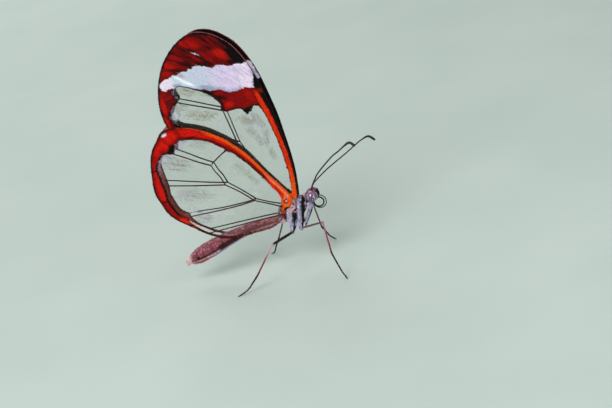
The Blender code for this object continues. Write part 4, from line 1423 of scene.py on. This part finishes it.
def abdomen_colour(places, blotch):
    """Mauve above, a dark stripe along the side, pale below, orange under the tip."""
    forward, up = places[:, 0], places[:, 2]
    middle = np.interp(-forward, -LINE_OF_ABDOMEN[:, 0], LINE_OF_ABDOMEN[:, 1])
    high = np.interp(-forward, -LINE_OF_ABDOMEN[:, 0], LINE_OF_ABDOMEN[:, 2])
    level = (up - middle) / np.maximum(high, 0.2)
    back = laid(everywhere(MAUVE, places), MAUVE_PALE, ease(blotch + level, 0.5, 1.2))
    edges = np.array(RING_EDGES)
    joint = np.exp(-((edges[None, :] - forward[:, None]) / 0.16) ** 2).max(axis=1)
    back = laid(back, RING_DARK, 0.5 * joint)
    front_part = ease(forward, -10.5, -8.0)
    back = laid(back, MAUVE_RED, 0.9 * front_part * between(level, -0.25, 0.6, 0.15))
    back = laid(back, MAUVE_PINK, 0.8 * front_part * ease(level, -0.1, -0.5) * ease(blotch, -0.5, 0.3))
    # A painted salmon highlight on the top of the abdomen's front part.
    back = laid(back, BACK_HIGHLIGHT, 0.8 * ease(forward, -7.5, -5.0) * ease(level, 0.1, 0.5)
                * ease(blotch, -0.5, 0.2))
    back = laid(back, STRIPE, 0.95 * between(level, -0.66, 0.12, 0.12) * between(forward, -13.2, -8.8, 0.6))
    back = laid(back, STRIPE, 0.9 * between(level, -0.42, -0.14, 0.1) * between(forward, -16.9, -12.4, 0.5))
    back = laid(back, BELLY_PINK, ease(level, -0.34, -0.5) * ease(blotch, -0.9, 0.0)
                * np.maximum(ease(forward, -9.2, -8.0), ease(forward, -12.6, -13.4)))
    back = laid(back, BELLY, ease(level, -0.66, -0.82) * between(forward, -15.2, -9.0, 0.5))
    back = laid(back, TIP_ORANGE, ease(level, -0.52, -0.7) * ease(forward, -14.2, -15.0)
                * ease(blotch, -0.7, 0.0))
    back = laid(back, BODY_DARK, ease(np.hypot(forward + 16.6, up - 4.6), 0.4, 0.14))
    back = laid(back, TIP_PALE, ease(forward, -17.6, -18.2))
    return laid(back, MAUVE_ROOT, 0.5 * ease(forward, -5.5, -3.4) * ease(level, -0.7, 0.2))


def body_colour(places):
    """Colours of skin and hair on thorax, hips, head and abdomen."""
    blotch = mottle(places, 0.3, 2.0)
    colour = thorax_colour(places, blotch)
    colour = laid(colour, head_colour(places, blotch), ease(places[:, 0], 1.85, 2.0))
    return laid(colour, abdomen_colour(places, blotch), ease(places[:, 0], -2.7, -3.1))


give_tint(skin, body_colour(places))
skin_finish = tinted("body_skin", 0.65, 0.2, 0.05, 0.2, 0.16, 0.03)
skin_surface = BVHTree.FromPolygons([Vector(place) for place in places],
                                    [tuple(face.vertices) for face in skin.data.polygons])

# %% [markdown]
# ## Hair and scales on the body
# Fine tufts cover the thorax and head, and tile-like scales the abdomen. Each tuft is a flat
# tapered lock, sunk at its root and bent over the body, and all lie towards the tail, as the
# real coat does. Roots are drawn evenly over the skin's own faces. The map for baking unrolls the
# body: length one way and the angle round it the other.

# %% Roots on the skin
def face_roots(piece, wanted, draw):
    """Evenly drawn places on a mesh, with their normals."""
    mesh = piece.data
    mesh.calc_loop_triangles()
    corners = np.array([tri.vertices for tri in mesh.loop_triangles])
    spots = point_array(piece)
    a, b, c = spots[corners[:, 0]], spots[corners[:, 1]], spots[corners[:, 2]]
    cross = np.cross(b - a, c - a)
    area = np.linalg.norm(cross, axis=1)
    chosen = draw.choice(len(corners), wanted, p=area / area.sum())
    u, v = draw.random(wanted), draw.random(wanted)
    over = u + v > 1
    u[over], v[over] = 1 - u[over], 1 - v[over]
    roots = a[chosen] + (b - a)[chosen] * u[:, None] + (c - a)[chosen] * v[:, None]
    return roots, unit(cross[chosen])


def lie_along(normals, goal):
    """Directions along the surface that follow a goal direction."""
    return unit(goal - normals * np.einsum("ij,ij->i", goal, normals)[:, None])


def unrolled(roots):
    """Places on the unrolled body, from 0 to 1 each way."""
    length = (roots[:, 0] + 19.5) / 24.0
    middle = np.interp(-roots[:, 0], -LINE_OF_ABDOMEN[:, 0], LINE_OF_ABDOMEN[:, 1])
    middle = np.where(roots[:, 0] > -2.7, 9.3 + 0.45 * roots[:, 0], middle)
    angle = np.arctan2(roots[:, 1], roots[:, 2] - middle) / (2 * math.pi) + 0.5
    return np.column_stack([length, angle])


hair_finish = tinted("body_hair", 0.6, 0.2, 0.08, 0.15, 0.2)
BODY_ROOTS = 24000
roots, normals = face_roots(skin, BODY_ROOTS, random)
settle(skin, skin_finish, ["thorax", "abdomen", "head"] + [
    f"coxa_{pair}_{name}" for pair in ("mid", "hind") for name in SIDE_NAMES.values()])
backward = np.tile((-1.0, 0.0, -0.35), (BODY_ROOTS, 1))
on_head = roots[:, 0] > 1.9
on_hips = (roots[:, 2] < 7.6) & (roots[:, 0] > -2.2)
backward[roots[:, 0] < -3.0] = (-1.0, 0.0, -0.28)
backward[on_hips] = (-0.2, 0.0, -1.0)
backward += random.normal(0, 0.16, backward.shape)
ways = lie_along(normals, backward)
on_abdomen = roots[:, 0] < -3.1
reach = random.uniform(0.3, 0.6, BODY_ROOTS)
reach[on_head | on_hips] *= 0.6
reach[on_abdomen] = random.uniform(0.22, 0.36, on_abdomen.sum())
tints = body_colour(roots + ways * 0.6 * reach[:, None]) * random.uniform(0.4, 1.5, (BODY_ROOTS, 1))

flakes = on_abdomen
total = int(flakes.sum())
coat = scatter("abdomen_scales", FLAKE, roots[flakes], ways[flakes], normals[flakes],
               reach[flakes], random.uniform(0.12, 0.18, total),
               random.uniform(0.02, 0.04, total), tints[flakes], unrolled(roots[flakes]), 0.12)
settle(coat, hair_finish)

locks = ~on_abdomen
total = int(locks.sum())
coat = scatter("thorax_hair", LOCK, roots[locks], ways[locks], normals[locks], reach[locks],
               random.uniform(0.05, 0.09, total), random.uniform(0.04, 0.11, total), tints[locks],
               unrolled(roots[locks]), 0.25)
settle(coat, hair_finish)


# %% [markdown]
# ## Tufts that stand out
# Some hair breaks the outline: a pale collar behind the head, pink hair on the crown, salmon and
# cream hair where the wings grow out, and the pale brush at the tail's tip. These are the same
# locks, longer, drawn round a few named places.

# %% Standing tufts
BROW = srgb(80, 56, 74)
# Tufts: name, centre, spread, way, number, length and colour.
TUFTS = [
    ("collar", (1.62, 0.0, 11.45), (0.12, 0.42, 0.1), (0.1, 0, 1.0), 70, 0.36, BODY_PINK),
    ("crown", (2.95, 0.0, 12.0), (0.3, 0.4, 0.08), (0.1, 0, 1.0), 110, 0.2, CROWN),
    ("brow", (3.5, 0.0, 11.4), (0.06, 0.3, 0.35), (1.0, 0, 0.1), 90, 0.22, BROW),
    ("tail", (-18.3, 0.0, 3.8), (0.2, 0.22, 0.26), (-1.0, 0, -0.1), 260, 0.5, TIP_PALE),
    ("tail_under", (-16.4, 0.0, 3.75), (0.9, 0.4, 0.12), (-1.0, 0, -0.25), 160, 0.4, TIP_ORANGE),
]
for side in (LEFT, RIGHT):
    TUFTS += [
        ("fore_root", (0.15, 0.75 * side, 11.0), (0.35, 0.1, 0.25), (-0.3, 0.4 * side, 0.5), 110, 0.4,
         BODY_PINK),
        ("hind_root", (-0.75, 0.95 * side, 9.8), (0.22, 0.06, 0.3), (-0.4, 0.4 * side, -0.6), 90, 0.4,
         BODY_PINK),
        ("rear", (-2.2, 0.6 * side, 8.3), (0.3, 0.2, 0.4), (-1.0, 0.3 * side, -0.3), 120, 0.5,
         BODY_PINK),
    ]

rows = {"roots": [], "ways": [], "normals": [], "lengths": [], "tints": []}
for _, centre, spread, way, number, length, colour in TUFTS:
    spots = np.array(centre) + random.normal(0, 0.6, (number, 3)) * spread
    for spot in spots:
        near, normal, _, _ = skin_surface.find_nearest(Vector(spot))
        rows["roots"].append(near)
        rows["normals"].append(normal)
    local = np.array([tuple(n) for n in rows["normals"][-number:]])
    rows["ways"].append(unit(np.array(way) + 0.35 * local + random.normal(0, 0.22, (number, 3))))
    rows["lengths"].append(length * random.uniform(0.6, 1.2, number))
    rows["tints"].append(colour * random.uniform(0.75, 1.15, (number, 1)))
roots = np.array([tuple(root) for root in rows["roots"]])
ways = np.vstack(rows["ways"])
aside = np.array([tuple(normal) for normal in rows["normals"]])
normals = unit(aside - ways * np.einsum("ij,ij->i", aside, ways)[:, None])
total = len(roots)
coat = scatter("standing_tufts", LOCK, roots, ways, normals, np.concatenate(rows["lengths"]),
               random.uniform(0.05, 0.08, total), random.uniform(0.04, 0.08, total),
               np.vstack(rows["tints"]), unrolled(roots), 0.15)
settle(coat, hair_finish)

# %% [markdown]
# ## Eyes
# Each eye is a round dome that covers the side of the head. The photographed kind has fine dark stripes
# from top to bottom over a pinkish grey; a paler rim behind and two bright spots are painted highlights of
# the light.
# The stripes are worked out from the angle round the dome and laid on its points, the facets
# come from a fine bump, and a clear coat gives the wet gloss.

# %% Eyes
EYE_UP = 11.25
EYE_RADIUS = 0.87
EYE_OUT = 0.66
EYE_BULGE = 0.84
STRIPES = 17
EYE_DARK = srgb(22, 6, 28)
EYE_MAUVE = srgb(118, 88, 126)
EYE_LIGHT = srgb(214, 188, 216)
EYE_CROWN = srgb(196, 118, 158)
FACET = 0.05
# Spots of the eye: colour, degrees ahead of its middle, degrees up, half width and half height. The two
# white spots are painted highlights.
EYE_SPOTS = [
    (srgb(250, 246, 252), -9, 27, 6, 16), (srgb(236, 226, 240), 20, 12, 5, 15),
    (srgb(8, 4, 10), 6, 25, 8, 24), (srgb(10, 5, 14), 40, 9, 9, 18), (srgb(14, 8, 20), 5, -8, 10, 8),
]

eye_finish = tinted("striped_eye", 0.3, 0.5, 0.0, 0.12, 0.1)
tree = eye_finish.node_tree
shader = tree.nodes["Principled BSDF"]
shader.inputs["Coat Weight"].default_value = 0.8
shader.inputs["Coat Roughness"].default_value = 0.08
place = tree.nodes.new("ShaderNodeTexCoord")
cells = tree.nodes.new("ShaderNodeTexVoronoi")
cells.inputs["Scale"].default_value = 1 / (FACET * MM)
tree.links.new(place.outputs["Object"], cells.inputs["Vector"])
add_bump(tree, shader, cells.outputs["Distance"], 0.006, 0.5)


def eye_colour(spots, side):
    """Stripes that run from the eye's top to its bottom, a pale rim behind that is a painted highlight, a
    mauve crown.
    """
    away = (spots - (EYE_FORWARD, EYE_OUT * side, EYE_UP)) / (EYE_RADIUS, EYE_BULGE, EYE_RADIUS)
    ahead = np.degrees(np.arctan2(away[:, 0], away[:, 1] * side))
    high = np.degrees(np.arcsin(np.clip(away[:, 2], -1, 1)))
    stripe = np.sin(np.radians(ahead) * STRIPES + 1.6 * mottle(away, 0.5, 9.0))
    colour = laid(everywhere(EYE_MAUVE, spots), EYE_DARK, ease(stripe, 0.1, -0.6))
    colour = laid(colour, EYE_LIGHT, ease(stripe, 0.3, 0.9) * ease(mottle(away, 0.4, 5.0), -0.5, 0.2))
    specks = ease(mottle(away, 0.1, 7.0), 0.1, -0.35)
    colour = laid(colour, EYE_CROWN, ease(high, 38, 54) * ease(stripe, -0.9, 0.0))
    colour = laid(colour, EYE_DARK, ease(high, 30, 48) * specks)
    # The pale rim behind: a painted highlight.
    colour = laid(colour, EYE_LIGHT, ease(ahead, -46, -54) * ease(ahead, -68, -60) * ease(high, 60, 40))
    for tone, spot_ahead, spot_high, wide, tall in EYE_SPOTS[::-1]:
        reach = np.hypot((ahead - spot_ahead) / wide, (high - spot_high) / tall)
        colour = laid(colour, tone, ease(reach, 1.0, 0.5))
    return colour


for side, side_name in SIDE_NAMES.items():
    deselect()
    bpy.ops.mesh.primitive_uv_sphere_add(
        segments=96, ring_count=48, radius=1.0, location=(EYE_FORWARD, EYE_OUT * side, EYE_UP),
        scale=(EYE_RADIUS, EYE_BULGE, EYE_RADIUS))
    eye = bpy.context.object
    eye.name = "eye_dome_" + side_name
    bpy.ops.object.transform_apply(location=True, rotation=False, scale=True)
    bpy.ops.object.shade_smooth()
    give_tint(eye, eye_colour(point_array(eye), side))
    settle(eye, eye_finish, ["eye_" + side_name])

# %% [markdown]
# ## Feelers, palps and tongue
# The antennae are thin ringed rods that thicken to a club. The palps are short black hairy
# fingers in front of the face. The tongue is a long tube that coils up like a watch spring
# under the head. All are curves with a radius at each point: rings are a radius that
# rises and falls along the rod.

# %% Antennae
ANTENNA = {
    RIGHT: [(2.95, 0.4, 12.0), (3.15, 0.5, 12.6), (3.87, 1.0, 13.82), (4.96, 1.75, 15.3),
            (7.49, 3.16, 17.75), (8.94, 3.88, 18.8), (10.1, 4.45, 19.7), (10.9, 4.82, 20.1),
            (11.65, 5.2, 19.5)],
    LEFT: [(2.95, 0.4, 12.0), (3.15, 0.5, 12.45), (3.75, 0.8, 13.0), (5.85, 1.8, 14.2),
           (8.96, 3.18, 15.6), (10.27, 3.76, 16.25), (11.53, 4.31, 16.8), (12.6, 4.76, 16.95),
           (13.45, 5.2, 15.95)],
}
ANTENNA_RADIUS = 0.115
CLUB_RADIUS = 0.2
CLUB_LENGTH = 3.0
RING_PITCH = 0.24
HORN, HORN_PALE, HORN_TIP = srgb(20, 14, 16), srgb(92, 74, 72), srgb(60, 26, 18)

dark_finish = tinted("dark_horn", 0.38, 0.3, 0.0, 0.2, 0.2)
for side, side_name in SIDE_NAMES.items():
    line = walk(ANTENNA[side], 0.06)
    line[:, 1] *= side
    run = run_along(line)
    to_tip = run[-1] - run
    ring = np.abs(np.sin(math.pi * run / RING_PITCH)) ** 0.6
    thick = ANTENNA_RADIUS + (CLUB_RADIUS - ANTENNA_RADIUS) * ease(to_tip, CLUB_LENGTH, 0.9)
    thick *= (0.86 + 0.14 * ring) * (1 + 0.35 * ease(run, 0.5, 0.1))
    thick *= np.sqrt(np.clip(to_tip / 0.25, 0.02, 1))
    antenna = rod("antenna_rod_" + side_name, line, thick, 8)
    spots = point_array(antenna)
    nearest = np.array([np.argmin(np.linalg.norm(line - spot, axis=1)) for spot in spots])
    tints = laid(everywhere(HORN, spots), HORN_PALE, 0.4 * (1 - ring[nearest]))
    tints = laid(tints, HORN_TIP, 0.8 * ease(to_tip[nearest], 0.9, 0.2))
    give_tint(antenna, tints)
    settle(antenna, dark_finish, ["antenna_" + side_name])

# %% Palps
PALP = [(3.3, 0.26, 10.5), (3.66, 0.3, 10.7), (3.84, 0.32, 11.15), (3.8, 0.32, 11.6), (3.66, 0.32, 12.0)]
PALP_RADII = [0.07, 0.09, 0.1, 0.08, 0.03]
PALP_SKIN, PALP_HAIR, PALP_PALE = srgb(20, 10, 14), srgb(24, 14, 18), srgb(190, 170, 190)
PALP_HAIRS = 260
for side, side_name in SIDE_NAMES.items():
    line = walk([(x, y * side, z, r) for (x, y, z), r in zip(PALP, PALP_RADII)], 0.08)
    palp = rod("palp_finger_" + side_name, line[:, :3], line[:, 3], 10)
    give_tint(palp, everywhere(PALP_SKIN, palp.data.vertices))
    roots, normals = face_roots(palp, PALP_HAIRS, random)
    upward = everywhere((0.25, 0.0, 1.0), roots)
    tints = laid(everywhere(PALP_HAIR, roots), PALP_PALE,
                 (roots[:, 2] < 11.0) * random.random(len(roots)) * 0.7)
    hair = scatter("palp_hair_" + side_name, LOCK, roots,
                   unit(lie_along(normals, upward) + normals * 0.25), normals,
                   random.uniform(0.08, 0.13, len(roots)), np.full(len(roots), 0.04),
                   np.full(len(roots), 0.03), tints, unrolled(roots) * (0.5, 0.1) + (0.3, 0.3), 0.1)
    settle(hair, hair_finish)
    settle(palp, dark_finish, ["palp_" + side_name])

# %% Tongue
COIL_CENTRE = (3.62, 9.88)
COIL_START, COIL_TURNS = 130.0, 1.85
COIL_OUTER, COIL_INNER = 1.07, 0.77
TONGUE_RADIUS = 0.08
TONGUE_ROOT = (2.95, 0, 10.5)
TONGUE_INNER, TONGUE_OUTER = srgb(10, 10, 12), srgb(52, 64, 62)
part = np.linspace(0, 1, 140)
turns = part * COIL_TURNS
angles = np.radians(COIL_START - 360 * turns)
inward = ease(turns, 0.5, 0.95)
reach = COIL_OUTER + (COIL_INNER - COIL_OUTER) * inward - 0.03 * part
line = np.column_stack([COIL_CENTRE[0] + 0.04 - 0.06 * inward + reach * np.cos(angles),
                        0.03 * np.sin(6 * part), COIL_CENTRE[1] + reach * np.sin(angles)])
line = np.vstack([[TONGUE_ROOT], line])
thick = np.concatenate([[0.12], TONGUE_RADIUS * (1 + 0.4 * inward)])
tongue = rod("tongue_coil", line, thick, 10)
spots = point_array(tongue)
away = np.hypot(spots[:, 0] - COIL_CENTRE[0], spots[:, 2] - COIL_CENTRE[1])
give_tint(tongue, laid(everywhere(TONGUE_INNER, spots), TONGUE_OUTER, ease(away, 0.88, 0.96)))
settle(tongue, dark_finish, ["proboscis"])

# %% [markdown]
# ## Legs
# A walking leg is a dark thigh, a long thin shin that is pale mauve near the knee, and a foot of
# five short joints with two claws. Each piece is a rod that swells at its joints, and the leg is
# one mesh, because on the animal it is one skin. Fine scales lie along it. The first pair is too
# small to walk on: two pale hairy stumps folded against the breast.

# %% Walking legs
LEGS = {
    ("mid", RIGHT): [(0.35, 1.15, 6.62), (4.1, 4.3, 8.27), (4.62, 6.3, 3.8), (5.6, 7.4, 1.3),
                     (6.03, 7.72, 0.5), (6.2, 7.85, 0.12)],
    ("mid", LEFT): [(0.3, 1.15, 6.5), (1.75, 5.2, 7.4), (2.1, 5.7, 3.25), (2.8, 6.6, 1.25),
                    (3.15, 7.35, 0.4), (3.4, 7.5, 0.12)],
    ("hind", RIGHT): [(-1.42, 1.15, 6.15), (-3.95, 5.4, 6.6), (-7.2, 6.7, 2.5), (-8.85, 7.0, 0.85),
                      (-9.65, 7.17, 0.42), (-10.42, 7.33, 0.12)],
    ("hind", LEFT): [(-1.42, 1.15, 6.15), (-2.85, 5.3, 6.95), (-5.05, 5.75, 2.5), (-5.85, 6.1, 1.1),
                     (-6.2, 6.25, 0.35), (-6.55, 6.25, 0.12)],
}
THIGH_RADIUS = {"mid": 0.12, "hind": 0.18}
SHIN_RADIUS, FOOT_RADIUS = 0.11, 0.125
THIGH_COLOURS = {("mid", RIGHT): srgb(120, 74, 102), ("mid", LEFT): srgb(70, 76, 76),
                 ("hind", RIGHT): srgb(30, 8, 16), ("hind", LEFT): srgb(92, 92, 90)}
SHIN_PALE = {"mid": srgb(166, 112, 138), "hind": srgb(208, 164, 186)}
SHIN_RED = srgb(136, 14, 36)
SHIN_FAR = srgb(100, 88, 90)
FOOT_DARK = srgb(50, 2, 10)
FOOT_RED = (FOOT_DARK + srgb(64, 4, 14)) / 2


def leg_rods(pair, hip, knee, ankle, heel, ball, toe):
    """Thigh, shin, foot, claws and spurs of one leg."""
    rods = []
    part = np.linspace(0, 1, 18)[:, None]
    swell = 1 + 0.22 * np.sin(math.pi * part[:, 0]) - 0.12 * part[:, 0]
    rods.append(rod("thigh", hip + (knee - hip) * part, THIGH_RADIUS[pair] * swell, 10))
    ends = 1 + 0.25 * np.exp(-(part[:, 0] / 0.05) ** 2) + 0.3 * np.exp(-((1 - part[:, 0]) / 0.05) ** 2)
    rods.append(rod("shin", knee + (ankle - knee) * part, SHIN_RADIUS * ends, 10))
    foot = walk([ankle, ankle + (heel - ankle) * 0.5, heel, ball, toe], 0.07)
    run = run_along(foot)
    along = run / run[-1]
    joints = np.array([0.0, 0.42, 0.58, 0.72, 0.85, 1.0])
    nearest = np.abs(along[:, None] - joints[None]).min(axis=1)
    thick = FOOT_RADIUS * (1 - 0.2 * along) * (0.84 + 0.16 * ease(nearest, 0.0, 0.05))
    foot[:, 2] = np.maximum(foot[:, 2], thick * 1.02)
    rods.append(rod("foot", foot, thick, 10))
    way = unit((foot[-1] - foot[-4])[None])[0]
    aside = np.cross(way, (0, 0, 1))
    for turn in (-1, 1):
        claw = [foot[-1], foot[-1] + way * 0.14 + aside * 0.08 * turn + (0, 0, 0.05),
                foot[-1] + way * 0.3 + aside * 0.12 * turn + (0, 0, 0.01),
                foot[-1] + way * 0.36 + aside * 0.1 * turn + (0, 0, -0.045)]
        rods.append(rod("claw", claw, [0.05, 0.045, 0.03, 0.012], 6))
    for turn in (-1, 1):
        spur = [ankle, ankle + (heel - ankle) * 0.12 + aside * 0.12 * turn,
                ankle + (heel - ankle) * 0.2 + aside * 0.16 * turn]
        rods.append(rod("spur", spur, [0.05, 0.035, 0.01], 6))
    return rods


def leg_colour(pair, side, spots, knee, ankle, heel, toe):
    """Dark thigh, shin from pale mauve to dark red, dark foot; the far legs are greyer."""
    colour = everywhere(THIGH_COLOURS[(pair, side)], spots)
    shin = ankle - knee
    along = ((spots - knee) @ shin) / (shin @ shin)
    on_shin = distance_to(spots, [knee, ankle]) < 0.2
    shade = laid(everywhere(SHIN_PALE[pair], spots), SHIN_RED, ease(along, 0.1, 0.6))
    if side == LEFT:
        shade = laid(shade, SHIN_FAR, np.full(len(spots), 0.75))
    shade = laid(shade, FOOT_DARK, ease(along, 0.8, 1.0))
    colour = np.where(on_shin[:, None], shade, colour)
    on_foot = (distance_to(spots, [ankle, heel, toe]) < 0.35) & (along > 0.97)
    return np.where(on_foot[:, None], FOOT_RED, colour)


LEG_SCALES = 700
leg_finish = tinted("leg_skin", 0.5, 0.3, 0.0, 0.2, 0.15, 0.01)
for number, ((pair, side), joints) in enumerate(LEGS.items()):
    hip, knee, ankle, heel, ball, toe = (np.array((x, y * side, z)) for x, y, z in joints)
    name = f"{pair}_{SIDE_NAMES[side]}"
    leg = join(leg_rods(pair, hip, knee, ankle, heel, ball, toe), "leg_" + name)
    give_tint(leg, leg_colour(pair, side, point_array(leg), knee, ankle, heel, toe))
    roots, normals = face_roots(leg, LEG_SCALES, random)
    keep = roots[:, 2] > 0.3
    roots, normals = roots[keep], normals[keep]
    down = np.where((distance_to(roots, [hip, knee]) < 0.3)[:, None], knee - hip, ankle - knee)
    down = np.where((distance_to(roots, [ankle, heel, toe]) < 0.25)[:, None], toe - ankle, down)
    tints = leg_colour(pair, side, roots, knee, ankle, heel, toe)
    tints = tints * random.uniform(0.7, 1.5, (len(roots), 1))
    map_places = np.column_stack([roots[:, 2] / 9.0, 0.1 + 0.2 * number + 0.05 * normals[:, 0]])
    hair = scatter("leg_scales_" + name, LOCK, roots,
                   unit(lie_along(normals, unit(down)) + normals * 0.12), normals,
                   random.uniform(0.14, 0.26, len(roots)), random.uniform(0.035, 0.05, len(roots)),
                   np.full(len(roots), 0.025), tints, map_places, 0.1)
    settle(hair, hair_finish)
    settle(leg, leg_finish, [f"{part}_{name}" for part in ("femur", "tibia", "tarsus")])

# %% Forelegs
FORELEG = [(1.95, 0.5, 10.2), (2.3, 0.55, 9.75), (2.12, 0.55, 9.2), (1.75, 0.52, 8.5),
           (1.35, 0.47, 7.75), (1.05, 0.42, 7.1), (0.85, 0.4, 6.75)]
FORELEG_RADII = [0.2, 0.27, 0.29, 0.25, 0.19, 0.12, 0.04]
FORELEG_FRONT, FORELEG_TIP = srgb(24, 22, 34), srgb(20, 12, 20)
FORELEG_HAIRS = 900


def foreleg_colour(spots, line):
    """Pale lavender with a dark front edge and a dark tip."""
    up = spots[:, 2]
    front = ease(spots[:, 0] - np.interp(up, line[::-1, 2], line[::-1, 0]), 0.06, 0.18)
    pale = laid(everywhere(BODY_PALE, spots), BODY_GREY, ease(mottle(spots, 0.3, 4.0), -0.3, 0.4))
    return laid(laid(pale, FORELEG_FRONT, front * ease(up, 9.9, 9.2)), FORELEG_TIP, ease(up, 7.4, 7.0))


for side, side_name in SIDE_NAMES.items():
    line = walk([(x, y * side, z, r) for (x, y, z), r in zip(FORELEG, FORELEG_RADII)], 0.15)
    leg = rod("foreleg_stump_" + side_name, line[:, :3], line[:, 3], 12)
    give_tint(leg, foreleg_colour(point_array(leg), line))
    roots, normals = face_roots(leg, FORELEG_HAIRS, random)
    down = everywhere(unit((line[-1, :3] - line[2, :3])[None]), roots)
    tints = foreleg_colour(roots, line) * random.uniform(0.8, 1.2, (len(roots), 1))
    map_places = np.column_stack([(roots[:, 2] - 6.0) / 6.0, 0.5 + 0.2 * side + 0.1 * normals[:, 0]])
    hair = scatter("foreleg_hair_" + side_name, LOCK, roots,
                   unit(lie_along(normals, down) + normals * 0.15), normals,
                   random.uniform(0.25, 0.45, len(roots)), random.uniform(0.05, 0.07, len(roots)),
                   np.full(len(roots), 0.05), tints, map_places, 0.15)
    settle(hair, hair_finish)
    settle(leg, leg_finish, ["foreleg_" + side_name])

# %% [markdown]
# ## The dressed model's size
# The box of the dressed model is printed.

# %% Sizes and the last line
low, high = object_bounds()
print("the model reaches from", tuple(low), "to", tuple(high))
